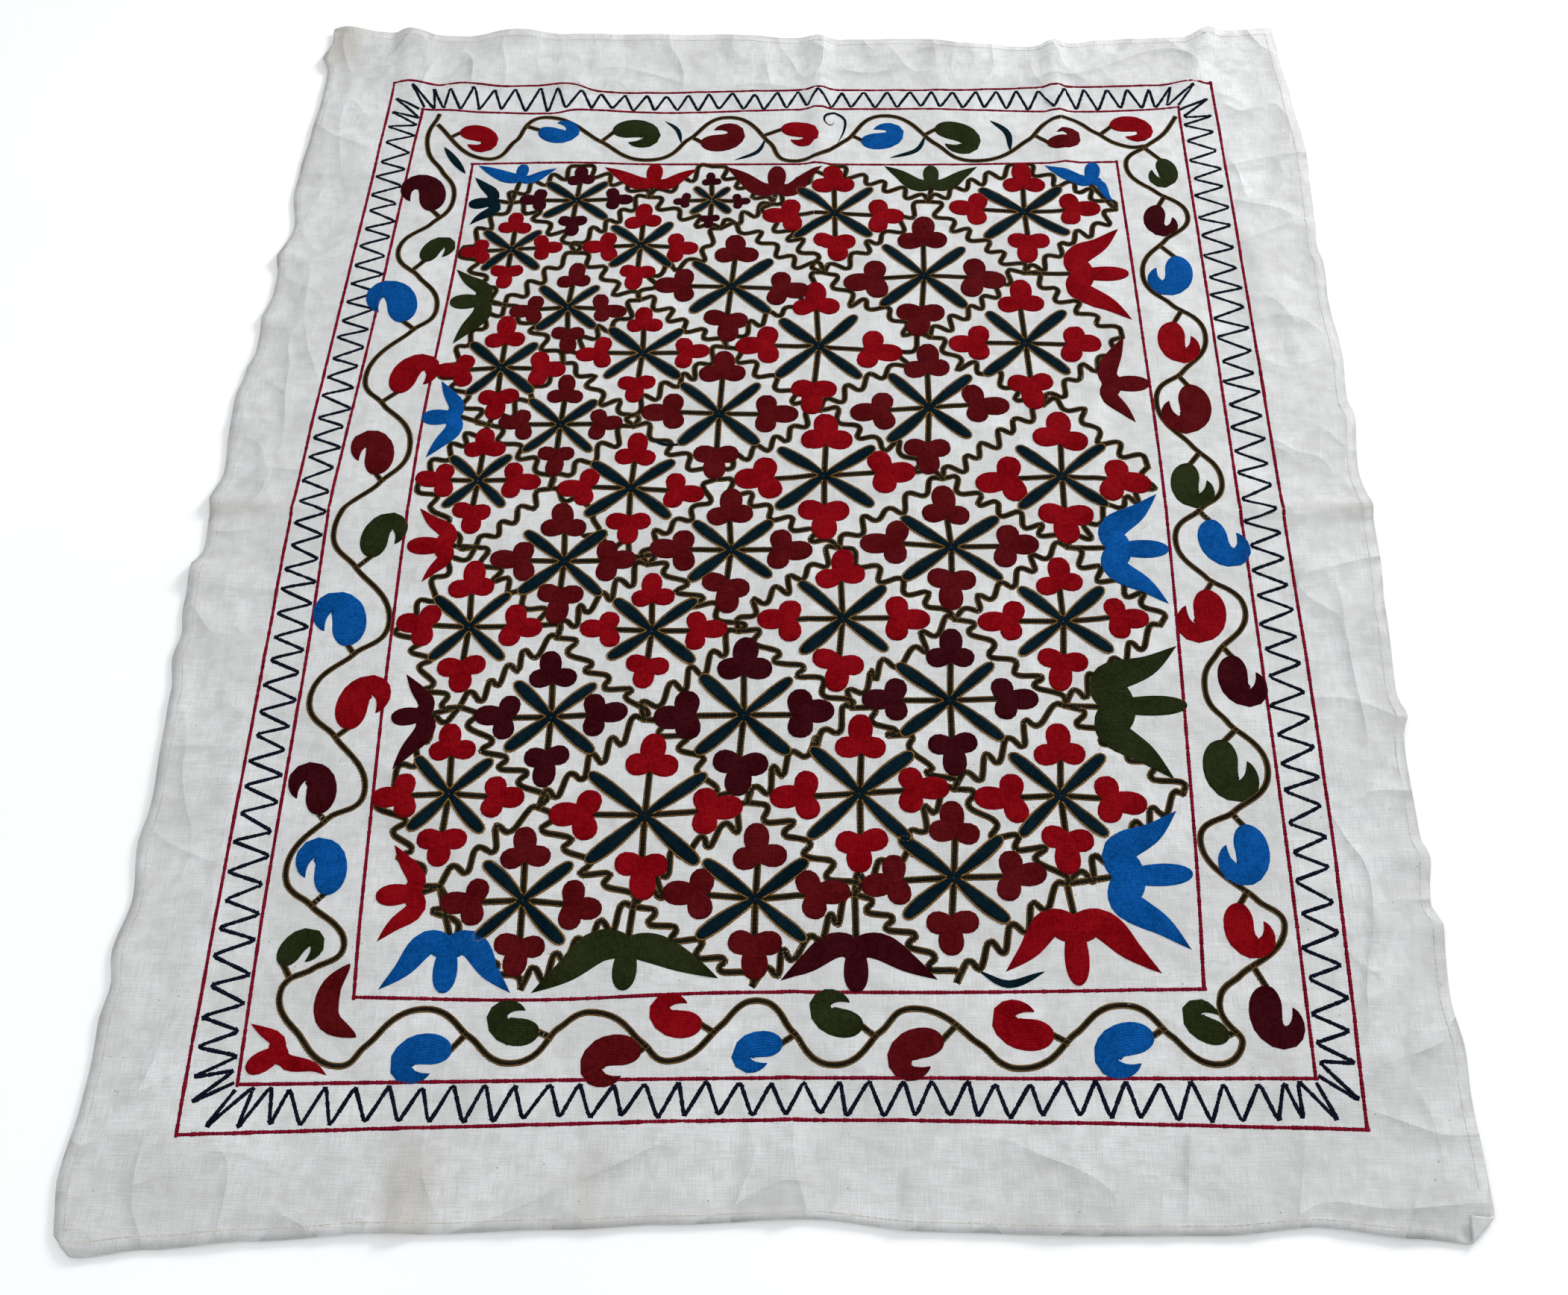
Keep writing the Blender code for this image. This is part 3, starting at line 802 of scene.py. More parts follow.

# %% [markdown]
# The field holds 37 eight-armed flowers. Four arms are thick teal bars, and four are thin stems
# that carry a blossom of three lobes. Between the flowers runs a net of stepped lines, whose
# knots lie where four flowers meet. A knot is named by its column and its number in it, far to
# near, and each flower names its four knots. All are given in centimetres.

# %% Chart of the field
KNOT_COLUMNS = (
    ("z", 1, ((-44.2, 43.5), (-44.2, 23.0), (-45.3, 5.0), (-44.8, -16.0), (-44.0, -38.0))),
    ("a", 0, ((-38.6, 51.6), (-37.6, 33.2), (-37.6, 13.4), (-37.2, -5.0), (-36.6, -26.8), (-36.2, -48.5))),
    ("b", 0, ((-29.6, 58.6), (-29.0, 42.4), (-29.0, 23.3), (-29.0, 3.6), (-26.2, -17.6), (-26.4, -39.2),
             (-26.3, -59.6))),
    ("c", 0, ((-19.6, 52.6), (-19.8, 34.0), (-19.2, 13.2), (-16.2, -7.4), (-15.4, -28.2), (-15.2, -50.6))),
    ("d", 0, ((-11.0, 58.4), (-9.4, 46.8), (-8.0, 26.0), (-8.7, 5.0), (-5.0, -16.6), (-3.4, -38.4),
             (-2.2, -59.0))),
    ("t", 3, ((-2.6, 51.2),)),
    ("e", 1, ((5.6, 58.2), (4.6, 38.6), (4.2, 15.6), (6.7, -5.0), (8.2, -26.6), (8.4, -49.0))),
    ("f", 0, ((18.8, 51.6), (18.4, 27.6), (19.4, 5.2), (20.2, -14.9), (19.4, -36.6), (19.0, -58.4))),
    ("g", 0, ((31.4, 58.2), (31.2, 38.6), (32.4, 16.6), (34.0, -4.8), (32.2, -26.2), (31.0, -47.6))),
    ("h", 1, ((44.2, 50.0), (43.2, 27.6), (44.6, 7.0), (44.0, -15.5), (44.4, -37.0))),
)
KNOTS = {f"{column}{number}": spot for column, lowest, spots in KNOT_COLUMNS
         for number, spot in enumerate(spots, lowest)}
# x, y, stem reach across and along, bar length, blossom size, dye, knots left, right, far, near.
FLOWERS = (
    (-29.6, 52.0, 5.4, 4.3, 5.6, 1.9, "plum", "a0 c0 b0 b1"),
    (-10.9, 52.0, 3.8, 3.7, 3.6, 1.3, "plum", "c0 t3 d0 d1"),
    (6.0, 49.5, 6.3, 5.6, 7.0, 2.7, "crimson", "t3 f0 e1 e2"),
    (31.8, 49.6, 6.8, 5.6, 7.2, 2.7, "crimson", "f0 h1 g0 g1"),
    (-37.7, 43.0, 4.4, 4.4, 5.2, 2.1, "crimson", "z1 b1 a0 a1"),
    (-20.2, 43.7, 5.0, 4.9, 5.8, 2.3, "crimson", "b1 d1 c0 c1"),
    (-7.7, 36.3, 6.8, 6.0, 7.3, 2.7, "wine", "c1 e2 d1 d2"),
    (17.9, 38.2, 7.1, 6.8, 7.8, 3.0, "wine", "e2 g1 f0 f1"),
    (-29.2, 32.8, 4.9, 4.9, 5.6, 2.2, "wine", "a1 c1 b1 b2"),
    (-37.0, 22.6, 5.2, 5.3, 6.0, 2.5, "crimson", "z2 b2 a1 a2"),
    (-18.8, 25.0, 5.8, 5.1, 6.6, 2.3, "crimson", "b2 d2 c1 c2"),
    (4.0, 26.0, 7.1, 7.3, 7.4, 2.8, "crimson", "d2 f1 e2 e3"),
    (30.7, 26.6, 6.5, 7.0, 7.6, 2.8, "crimson", "f1 h2 g1 g2"),
    (-28.5, 13.5, 5.2, 5.0, 6.0, 2.2, "wine", "a2 c2 b2 b3"),
    (-8.5, 15.2, 6.3, 6.8, 7.2, 2.7, "wine", "c2 e3 d2 d3"),
    (18.0, 16.2, 6.5, 6.8, 7.4, 2.8, "wine", "e3 g2 f1 f2"),
    (-38.0, 4.8, 4.6, 5.1, 5.6, 2.4, "crimson", "z3 b3 a2 a3"),
    (-19.0, 3.7, 6.0, 5.2, 6.9, 2.5, "crimson", "b3 d3 c2 c3"),
    (4.8, 5.6, 7.6, 6.0, 7.6, 3.0, "crimson", "d3 f2 e3 e4"),
    (34.0, 5.6, 7.0, 6.2, 7.2, 3.0, "crimson", "f2 h3 g2 g3"),
    (-26.3, -7.0, 5.5, 5.2, 7.0, 2.6, "wine", "a3 c3 b3 b4"),
    (-6.3, -5.3, 6.2, 5.4, 6.6, 2.7, "wine", "c3 e4 d3 d4"),
    (20.1, -4.8, 7.1, 5.3, 7.4, 2.8, "wine", "e4 g3 f2 f3"),
    (-36.7, -16.2, 5.6, 5.7, 6.4, 2.6, "crimson", "z4 b4 a3 a4"),
    (-15.2, -16.6, 5.6, 4.9, 6.6, 2.4, "crimson", "b4 d4 c3 c4"),
    (7.1, -14.8, 6.7, 6.3, 7.3, 2.7, "crimson", "d4 f3 e4 e5"),
    (32.8, -15.1, 6.5, 5.7, 7.2, 2.6, "crimson", "f3 h4 g3 g4"),
    (-26.0, -28.0, 5.5, 5.4, 6.7, 2.5, "plum", "a4 c4 b4 b5"),
    (-4.1, -27.6, 6.7, 6.6, 7.6, 2.9, "plum", "c4 e5 d4 d5"),
    (19.3, -25.6, 6.6, 6.0, 7.6, 2.6, "plum", "e5 g4 f3 f4"),
    (-36.5, -37.6, 5.5, 5.7, 6.4, 2.5, "crimson", "z5 b5 a4 a5"),
    (-14.6, -40.0, 7.2, 6.4, 8.2, 2.8, "crimson", "b5 d5 c4 c5"),
    (9.0, -37.2, 6.3, 6.1, 7.8, 2.7, "crimson", "d5 f4 e5 e6"),
    (31.0, -37.3, 5.8, 5.7, 7.2, 2.7, "crimson", "f4 h5 g4 g5"),
    (-27.1, -50.0, 5.5, 5.4, 6.6, 2.5, "wine", "a5 c5 b5 b6"),
    (-2.2, -49.6, 6.5, 5.4, 7.4, 2.7, "wine", "c5 e6 d5 d6"),
    (19.0, -47.0, 6.6, 5.6, 7.4, 2.6, "wine", "e6 g5 f4 f5"),
)
print("flowers", len(FLOWERS), "knots", len(KNOTS))

# %% [markdown]
# A blossom is three lobes that grow from the end of a stem: two to the sides and one straight
# on. No two on the real cloth are alike, so a seeded draw changes each a little.

# %% Sew the flowers
BLOSSOM_SCALE = 1.03
# Each lobe of a blossom: its angle, its length and its half width, as shares of the size.
LOBES = ((97, 1.06, 0.53), (-97, 1.06, 0.53), (0, 1.36, 0.55))
BAR_HALF_WIDTH = 0.80
BAR_SIZE = 7.0
OUTLINE_GAP = 0.07
hand = random.Random(41)
lines = {"triple": [], "bar_edge": []}
keep_clear = []


def turned(direction, degrees):
    """A direction turned to the left."""
    angle = math.radians(degrees)
    cos, sin = math.cos(angle), math.sin(angle)
    return Vector((direction.x * cos - direction.y * sin, direction.x * sin + direction.y * cos))


def sew_blossom(centre, outward, size, dye):
    """Three lobes round the end of a stem."""
    size *= BLOSSOM_SCALE
    for degrees, stretch, fullness in LOBES:
        lean = turned(outward, degrees + hand.uniform(-9, 9))
        length = size * stretch * hand.uniform(0.92, 1.08)
        start = centre - lean * (0.22 * size)
        middle = centre + lean * (0.45 * length) + turned(lean, 90) * hand.uniform(-0.08, 0.08) * size
        fill_shape(dye, (start, middle, centre + lean * length), fullness * size, round_lobe)


def bar_outline(start, direction, length, half_width, bend):
    """The line of stitches that goes round a bar, as bent as the bar is."""
    side = turned(direction, 90)
    left, right_hand = [], []
    for t in (0.12, 0.3, 0.5, 0.7, 0.88, 0.97):
        width = half_width * straight_bar(t) + OUTLINE_GAP
        middle = start + direction * (length * t) + bend * (4.0 * t * (1.0 - t))
        left.append(middle + side * width)
        right_hand.append(middle - side * width)
    tip = start + direction * (length + 0.08)
    return smooth_line(left + [tip] + right_hand[::-1], 0.4)


for x, y, reach_x, reach_y, bar, size, dye, knots in FLOWERS:
    heart = Vector((x, y))
    for outward, reach, knot in zip(
            (Vector((-1, 0)), Vector((1, 0)), Vector((0, 1)), Vector((0, -1))),
            (reach_x, reach_x, reach_y, reach_y), knots.split()):
        outward = turned(outward, hand.uniform(-5, 5))
        bud = heart + outward * (reach - 0.12 * size)
        lines["triple"].append([heart + outward * 0.4, bud - outward * (0.2 * size)])
        sew_blossom(bud, outward, size, dye)
        centre = bud + outward * (0.40 * size)
        to_knot = (Vector(KNOTS[knot]) - centre).length
        keep_clear.append((centre, min(1.05 * size + 1.0, to_knot - 0.4)))
    for sign_x, sign_y in ((1, 1), (-1, 1), (-1, -1), (1, -1)):
        slant = Vector((sign_x * reach_x, sign_y * reach_y * 0.96)).normalized()
        slant = turned(slant, hand.uniform(-3, 3))
        length = bar * hand.uniform(0.91, 1.01)
        half_width = BAR_HALF_WIDTH * (bar / BAR_SIZE) ** 0.5 * hand.uniform(0.88, 1.12)
        bend = turned(slant, 90) * hand.uniform(-0.15, 0.15)
        fill_shape("teal", (heart, heart + slant * (length / 2) + bend, heart + slant * length),
                   half_width, straight_bar)
        lines["bar_edge"].append(bar_outline(heart, slant, length, half_width, bend))
        keep_clear.append((heart + slant * (length - 0.7), 1.5))
print("filled shapes so far:", {dye: len(store["points"]) for dye, store in patches.items()})

# %% [markdown]
# The net between the flowers is drawn in steps, like a staircase. A plain guide line comes
# first: it is pushed out of the circles that keep the blossoms and bar ends clear, and smoothed
# in between. The steps then stand on it to both sides, and corner cutting rounds them. In the
# near part of the cloth they lean more, and look like saw teeth.

# %% Draw the stepped net
GUIDE_STEP = 0.6
HALF_STEP = 1.55
STEP_DEPTH = 1.36
FAR_LEAN = 0.25
NEAR_LEAN = 0.85
NEAR_PART = -12.0
ROW_STEP = 0.40
PUSH_ROUNDS = 6
PUSH_RANGE = 12.0


def even_line(points, step=ROW_STEP):
    """A line cut at even steps."""
    count = max(2, round(line_length(points) / step))
    return [spot[0] for spot in at_shares(points, [i / count for i in range(count + 1)])]


def rounded(points, times=2, share=0.25):
    """Cut each corner of a line, so that it turns softly."""
    for _ in range(times):
        cut = [points[0]]
        for first, second in zip(points, points[1:]):
            cut.append(first.lerp(second, share))
            cut.append(first.lerp(second, 1.0 - share))
        cut.append(points[-1])
        points = cut
    return points


def guide_line(start, end):
    """A line between two knots that keeps clear of the blossoms and bar ends."""
    count = round((end - start).length / GUIDE_STEP)
    points = [start.lerp(end, index / count) for index in range(count + 1)]
    middle = start.lerp(end, 0.5)
    near = [circle for circle in keep_clear if (circle[0] - middle).length < PUSH_RANGE]
    for _ in range(PUSH_ROUNDS):
        for index in range(1, count):
            for centre, radius in near:
                off = points[index] - centre
                if off.length < radius:
                    points[index] = centre + off.normalized() * radius
        points[1:-1] = [(before + 2 * point + after) / 4
                        for before, point, after in zip(points, points[1:], points[2:])]
    return points


def stepped(start, end):
    """A staircase along the guide line from one knot to the next."""
    guide = guide_line(start, end)
    teeth = max(3, round(line_length(guide) / (2 * HALF_STEP)))
    lean = FAR_LEAN if (start.y + end.y) / 2 > NEAR_PART else NEAR_LEAN
    shares = [(index + hand.uniform(-0.15, 0.15)) / (2 * teeth) for index in range(1, 2 * teeth)]
    points = [start]
    for index, (spot, way, _) in enumerate(at_shares(guide, shares)):
        side = -1 if index % 2 else 1
        depth = STEP_DEPTH * hand.uniform(0.72, 1.2)
        points.append(spot + side * (Vector((-way.y, way.x)) * depth + way * lean))
    points.append(end)
    return rounded(points, 2, 0.2)


net = set()
for flower in FLOWERS:
    left, right_knot, far, near = flower[-1].split()
    net |= {tuple(sorted(pair)) for pair in
            ((left, far), (far, right_knot), (right_knot, near), (near, left))}
for first, second in sorted(net):
    lines["triple"].append(stepped(Vector(KNOTS[first]), Vector(KNOTS[second])))
print("lines of the net", len(net))

# %% [markdown]
# Half flowers, like tulips seen from the side, fill the gaps along the field's frame. Each has a
# middle petal and two long side petals that curve out to a point.

# %% Sew the tulips
# Root, tip of the middle petal, tips of the two side petals, each as x and y, then the dye.
TULIPS = (
    (37.2, 38.4, 45.0, 38.5, 44.3, 46.5, 44.8, 30.5, "crimson"),
    (40.0, 20.0, 46.0, 20.0, 43.4, 27.7, 43.8, 13.8, "wine"),
    (38.4, -5.0, 46.0, -5.0, 45.3, 3.0, 45.3, -12.7, "blue"),
    (36.0, -26.3, 46.0, -26.0, 45.6, -18.3, 43.7, -35.3, "olive"),
    (35.8, -46.8, 44.5, -46.3, 43.5, -39.0, 43.5, -54.8, "blue"),
    (-40.5, 52.0, -44.5, 51.3, -44.2, 56.5, -44.0, 47.5, "teal"),
    (-39.8, 34.0, -45.0, 33.7, -44.8, 39.5, -43.8, 26.6, "olive"),
    (-41.3, 14.7, -46.3, 14.6, -44.5, 20.5, -45.0, 8.3, "blue"),
    (-40.0, -4.8, -45.6, -4.8, -44.7, 0.6, -43.2, -10.0, "crimson"),
    (-39.7, -27.7, -44.3, -28.2, -43.3, -22.5, -43.3, -34.7, "plum"),
    (-38.0, -49.2, -43.0, -49.7, -41.8, -43.7, -42.2, -54.8, "crimson"),
    (-37.8, 55.6, -37.5, 59.0, -44.0, 58.8, -32.8, 58.2, "blue"),
    (-19.2, 54.4, -19.0, 59.0, -26.2, 58.4, -13.0, 58.0, "crimson"),
    (-2.1, 53.2, -2.0, 58.4, -9.2, 58.4, 4.3, 58.2, "wine"),
    (19.3, 54.0, 19.3, 58.4, 12.8, 58.4, 25.8, 58.2, "olive"),
    (41.2, 54.6, 41.8, 58.9, 35.0, 58.4, 44.3, 51.2, "blue"),
    (-34.5, -54.0, -34.5, -60.3, -41.3, -60.0, -27.4, -60.2, "blue"),
    (-15.5, -54.0, -15.8, -59.8, -25.3, -60.2, -5.8, -58.4, "olive"),
    (8.5, -53.8, 8.5, -59.8, 0.6, -58.6, 17.0, -58.3, "plum"),
    (31.5, -51.0, 31.5, -58.8, 24.0, -57.4, 40.2, -57.4, "crimson"),
    (-49.8, -66.2, -53.6, -68.6, -54.0, -63.7, -45.2, -69.0, "crimson"),
)
TO_KNOT = 8.0


def sew_tulip(root, middle, sides, dye):
    """One middle petal and two side petals from the same root."""
    outward = (middle - root).normalized()
    size = (middle - root).length
    fill_shape(dye, (root + outward * (0.05 * size), root.lerp(middle, 0.55), middle),
               min(0.24 * size + 0.15, 1.4), round_lobe)
    across = turned(outward, 90) * (0.34 * size)
    heart = root + outward * (0.20 * size)
    fill_shape(dye, (heart - across, heart, heart + across), 0.22 * size, cushion)
    for side in sides:
        reach = side - root
        swell = reach - outward * reach.dot(outward)
        bulge = root + swell.normalized() * (0.26 * reach.length) + outward * (0.10 * reach.length)
        bend = root + reach * 0.62 + swell.normalized() * (0.03 * reach.length)
        heel = root + outward * (0.16 * size) - swell.normalized() * (0.06 * reach.length)
        fill_shape(dye, (heel, bulge, bend, side), 0.185 * reach.length, pointed_petal)


for tulip in TULIPS:
    root = Vector(tulip[0:2])
    sew_tulip(root, Vector(tulip[2:4]), (Vector(tulip[4:6]), Vector(tulip[6:8])), tulip[-1])
    nearest = min((Vector(knot) for knot in KNOTS.values()), key=lambda knot: (knot - root).length)
    if (nearest - root).length < TO_KNOT:
        lines["triple"].append([root, nearest])
print("tulips", len(TULIPS))

# %% [markdown]
# Round the field runs a vine in even waves. It is one smooth curve through its outermost points
# and the places where it crosses the middle of the band. The bends at the outermost points are
# pulled wider than the others, which rounds the waves.

# %% Draw the vine
VINE = (
    (-50.7, 68.6), (-51.7, 63.0), (-49.0, 57.8), (-46.7, 52.5), (-49.3, 47.7), (-53.1, 43.0),
    (-49.8, 38.3), (-46.6, 33.0), (-49.5, 28.7), (-54.3, 22.0), (-51.5, 16.7), (-47.2, 10.5),
    (-50.3, 4.4), (-54.8, -2.0), (-51.3, -8.0), (-46.3, -15.0), (-49.8, -19.9), (-54.0, -25.5),
    (-50.3, -30.7), (-46.0, -37.0), (-49.6, -40.7), (-53.2, -46.5), (-49.8, -50.8), (-45.6, -54.9),
    (-48.5, -57.8), (-51.5, -60.5), (-48.8, -64.8), (-44.7, -68.0), (-41.6, -65.8), (-36.5, -62.0),
    (-31.2, -64.8), (-26.3, -67.5), (-22.0, -63.8), (-17.8, -62.2), (-13.3, -65.3), (-9.8, -67.0),
    (-5.5, -63.5), (-1.5, -60.7), (2.0, -64.0), (6.3, -67.3), (11.0, -63.8), (15.2, -61.4),
    (21.0, -65.0), (25.7, -67.4), (30.8, -63.8), (35.8, -60.8), (40.3, -63.8), (44.5, -66.8),
    (47.6, -64.4), (45.7, -60.6), (48.3, -57.4), (53.3, -52.8), (50.8, -49.1),
    (45.7, -43.0), (49.8, -39.0), (54.0, -34.0), (50.3, -28.2), (48.2, -23.8),
    (50.3, -19.0), (54.0, -13.5), (50.0, -9.0), (46.9, -3.6), (50.4, 0.7), (53.4, 5.0),
    (50.3, 10.3), (46.6, 17.0), (50.4, 21.9), (53.9, 28.0), (50.0, 33.2), (46.8, 38.5),
    (50.3, 44.3), (53.8, 48.8), (50.0, 53.2), (46.3, 58.0), (49.4, 62.0),
)
FAR_VINE = (
    (49.4, 62.0), (46.0, 62.2), (42.5, 64.7), (37.5, 67.3), (33.0, 63.2), (26.0, 59.3),
    (20.0, 62.7), (13.3, 68.2), (7.5, 63.3), (0.5, 59.4), (-3.2, 63.0), (-8.8, 68.0),
    (-14.5, 63.8), (-20.0, 59.7), (-27.0, 63.3), (-35.0, 68.2), (-39.2, 63.5),
    (-43.8, 60.2), (-50.6, 66.8),
)
VINE_TIP = ((49.4, 62.0), (52.0, 64.3), (54.0, 67.6))
VINE_PULLS = (0.40, 0.92)
vine_parts = [smooth_line(part, 0.5, VINE_PULLS) for part in (VINE, FAR_VINE)]
vine_line = vine_parts[0] + vine_parts[1]
lines["vine"] = vine_parts + [smooth_line(VINE_TIP, 0.5)]
print("vine length", round(line_length(vine_line) * CM, 2), "m")

# %% [markdown]
# In each bend of the vine sits a paisley on a short stem. It is a drop whose tail curls round to
# one side, so it is the filled shape again, on a spine bent like a hook.

# %% Sew the paisleys
# End of the stem as x and y, way in degrees, height, side of the curl, dye.
PAISLEYS = (
    (-49.6, 50.2, 97, 7.6, 1, "plum"), (-49.3, 40.9, 68, 5.5, -1, "olive"),
    (-50.9, 30.3, 102, 8.2, 1, "blue"), (-49.9, 18.5, 76, 7.4, -1, "crimson"),
    (-51.0, 5.7, 90, 7.4, 1, "wine"), (-49.6, -6.5, 88, 7.0, -1, "olive"),
    (-50.8, -18.8, 97, 8.2, 1, "blue"), (-48.9, -29.7, 88, 7.6, -1, "crimson"),
    (-50.9, -40.2, 92, 6.9, 1, "plum"), (-48.4, -49.6, 92, 7.2, 1, "blue"),
    (-51.9, -57.5, 62, 5.4, -1, "olive"), (-32.8, -66.4, 178, 6.6, 1, "blue"),
    (-24.0, -64.2, 178, 6.0, -1, "olive"), (-13.4, -66.2, 180, 6.6, 1, "wine"),
    (-7.3, -63.2, 178, 6.0, -1, "crimson"), (1.0, -65.3, 182, 5.6, 1, "blue"),
    (9.2, -63.2, 170, 6.2, -1, "olive"), (17.4, -64.7, 190, 6.5, 1, "wine"),
    (28.6, -63.9, 178, 6.8, -1, "crimson"), (38.7, -64.0, 190, 7.0, 1, "blue"),
    (46.3, -64.0, 158, 5.6, -1, "olive"), (50.8, -58.6, -97, 6.9, 1, "plum"),
    (49.0, -49.6, -94, 6.5, 1, "crimson"), (50.6, -40.6, -84, 7.5, -1, "blue"),
    (49.5, -30.4, -98, 7.9, 1, "olive"), (51.9, -19.6, -94, 7.0, 1, "plum"),
    (49.7, -10.7, -90, 7.7, -1, "crimson"), (51.4, -0.8, -86, 7.3, 1, "blue"),
    (49.7, 7.5, -103, 7.0, 1, "olive"), (50.9, 19.8, -85, 8.1, -1, "wine"),
    (50.0, 30.1, -97, 7.2, 1, "crimson"), (51.5, 41.5, -92, 7.4, -1, "blue"),
    (50.0, 50.7, -104, 5.9, 1, "plum"), (51.2, 59.5, -76, 5.7, -1, "olive"),
    (44.7, 66.0, 4, 6.3, -1, "crimson"), (35.7, 62.7, 2, 5.2, 1, "wine"),
    (20.1, 65.7, -16, 7.4, -1, "olive"), (9.7, 63.2, 4, 6.6, 1, "blue"),
    (-1.6, 65.8, -10, 6.0, -1, "crimson"), (-12.9, 63.0, 4, 6.8, 1, "wine"),
    (-25.5, 65.4, 6, 7.2, -1, "olive"), (-36.0, 65.7, -22, 6.0, 1, "blue"),
    (-47.3, 65.5, -12, 6.4, -1, "crimson"),
)
# Spine of a paisley of height 1 that curls to the left: how far on, how far to the side.
PAISLEY_SPINE = ((0.0, 0.02), (0.25, -0.02), (0.50, -0.03), (0.72, 0.04), (0.85, 0.22),
                 (0.80, 0.40), (0.62, 0.48), (0.44, 0.46), (0.32, 0.40))
PAISLEY_SCALE = 0.88
PAISLEY_HALF_WIDTH = 0.285


def sew_paisley(x, y, degrees, height, curl, dye):
    """A paisley from the end of its stem, and the stem from the vine."""
    end = Vector((x, y))
    onward = turned(Vector((1, 0)), degrees)
    aside = turned(onward, 90 * curl)
    bend = hand.uniform(0.90, 1.06)
    size = PAISLEY_SCALE * height
    spine = [end + onward * (on * size) + aside * (off * size * bend) for on, off in PAISLEY_SPINE]
    fill_shape(dye, spine, PAISLEY_HALF_WIDTH * size, paisley_body)
    nearest = min(vine_line, key=lambda point: (point - end).length)
    lines["vine"].append([nearest, end + onward * 0.3])


for paisley in PAISLEYS:
    sew_paisley(*paisley)
print("paisleys", len(PAISLEYS))

# %% [markdown]
# A few loose crescents and a tendril fill gaps in the band and in the field. Each is the filled
# shape on a bent spine, thin at both ends.

# %% Sew the crescents
CRESCENTS = (
    ("wine", 1.35, (-42.8, -65.0), (-46.0, -63.2), (-46.3, -60.0), (-44.6, -57.2)),
    ("teal", 0.36, (-18.2, 67.4), (-16.3, 65.6), (-15.6, 62.8)),
    ("teal", 0.36, (-3.7, 63.9), (-4.9, 61.2), (-8.1, 59.6)),
    ("teal", 0.40, (18.8, 64.4), (17.4, 61.4), (13.6, 59.9)),
    ("teal", 0.52, (27.9, 67.2), (30.2, 64.8), (30.5, 61.1)),
    ("teal", 0.46, (21.2, -57.3), (24.3, -58.7), (28.1, -57.3)),
    ("teal", 0.60, (-49.2, 62.4), (-47.7, 60.2), (-45.6, 57.2)),
    ("teal", 0.30, (-17.2, 11.4), (-15.2, 10.4), (-12.6, 10.4)),
    ("teal", 0.24, (6.3, 62.6), (7.2, 65.0), (7.4, 67.4), (5.9, 68.7), (4.6, 67.9), (4.6, 66.6),
     (5.6, 66.3), (5.9, 67.2)),
)
for dye, half_width, *spine in CRESCENTS:
    fill_shape(dye, spine, half_width, crescent)
print("crescents", len(CRESCENTS))

# %% [markdown]
# Three thin red lines frame the work, and a dark zigzag runs between the outer two. On the real
# cloth they were drawn by eye, so they wander by a centimetre. Each side is a short row of
# points from its first corner to its last.

# %% Draw the frames and the zigzag
OUTER_FRAME = (
    ((-58.0, 75.2), (-45.0, 74.5), (-33.0, 74.7), (-25.0, 73.1), (0.0, 73.4), (20.0, 73.3),
     (40.0, 73.7), (59.7, 74.3)),
    ((59.7, 74.3), (60.0, 50.0), (60.2, 0.0), (59.9, -40.0), (58.7, -73.1)),
    ((58.7, -73.1), (30.0, -72.8), (0.0, -72.9), (-30.0, -73.9), (-59.4, -75.1)),
    ((-59.4, -75.1), (-59.7, -60.0), (-60.2, -20.0), (-60.4, 0.0), (-59.9, 20.0), (-58.8, 50.0),
     (-58.0, 75.2)),
)
MIDDLE_FRAME = (
    ((-53.2, 69.9), (-46.0, 69.4), (-35.0, 69.0), (-30.0, 69.7), (-18.0, 69.0), (0.0, 69.5),
     (20.0, 69.5), (40.0, 68.8), (54.6, 69.4)),
    ((54.6, 69.4), (54.9, 40.0), (55.1, 0.0), (54.9, -40.0), (54.4, -68.1)),
    ((54.4, -68.1), (30.0, -68.4), (0.0, -68.7), (-30.0, -69.4), (-54.2, -70.0)),
    ((-54.2, -70.0), (-54.9, -50.0), (-55.3, -20.0), (-55.9, 0.0), (-55.6, 10.0), (-54.7, 30.0),
     (-53.7, 60.0), (-53.2, 69.9)),
)
FIELD_FRAME = (
    ((-44.8, 59.1), (-30.0, 59.3), (-20.0, 58.9), (0.0, 58.8), (20.0, 58.6), (45.1, 59.0)),
    ((45.1, 59.0), (45.8, 30.0), (46.2, 0.0), (45.2, -40.0), (44.3, -59.0)),
    ((44.3, -59.0), (20.0, -59.6), (-5.0, -59.9), (-25.0, -60.9), (-43.7, -60.8)),
    ((-43.7, -60.8), (-44.4, -50.0), (-45.7, -20.0), (-46.2, 10.0), (-45.1, 40.0), (-44.8, 59.1)),
)
ZIGZAG_TEETH = (37, 41, 36, 46)
CORNER_RUN = 9.0
LINE_STEP = 1.0


def inner_share(share, outer_length, inner_length):
    """The place on the inner frame straight across from one on the outer, fanned at the corners."""
    overlap = (outer_length - inner_length) / 2
    from_end = min(share, 1.0 - share) * outer_length
    if from_end < CORNER_RUN:
        from_end *= (CORNER_RUN - overlap) / CORNER_RUN
    else:
        from_end -= overlap
    inner = from_end / inner_length
    return inner if share < 0.5 else 1.0 - inner


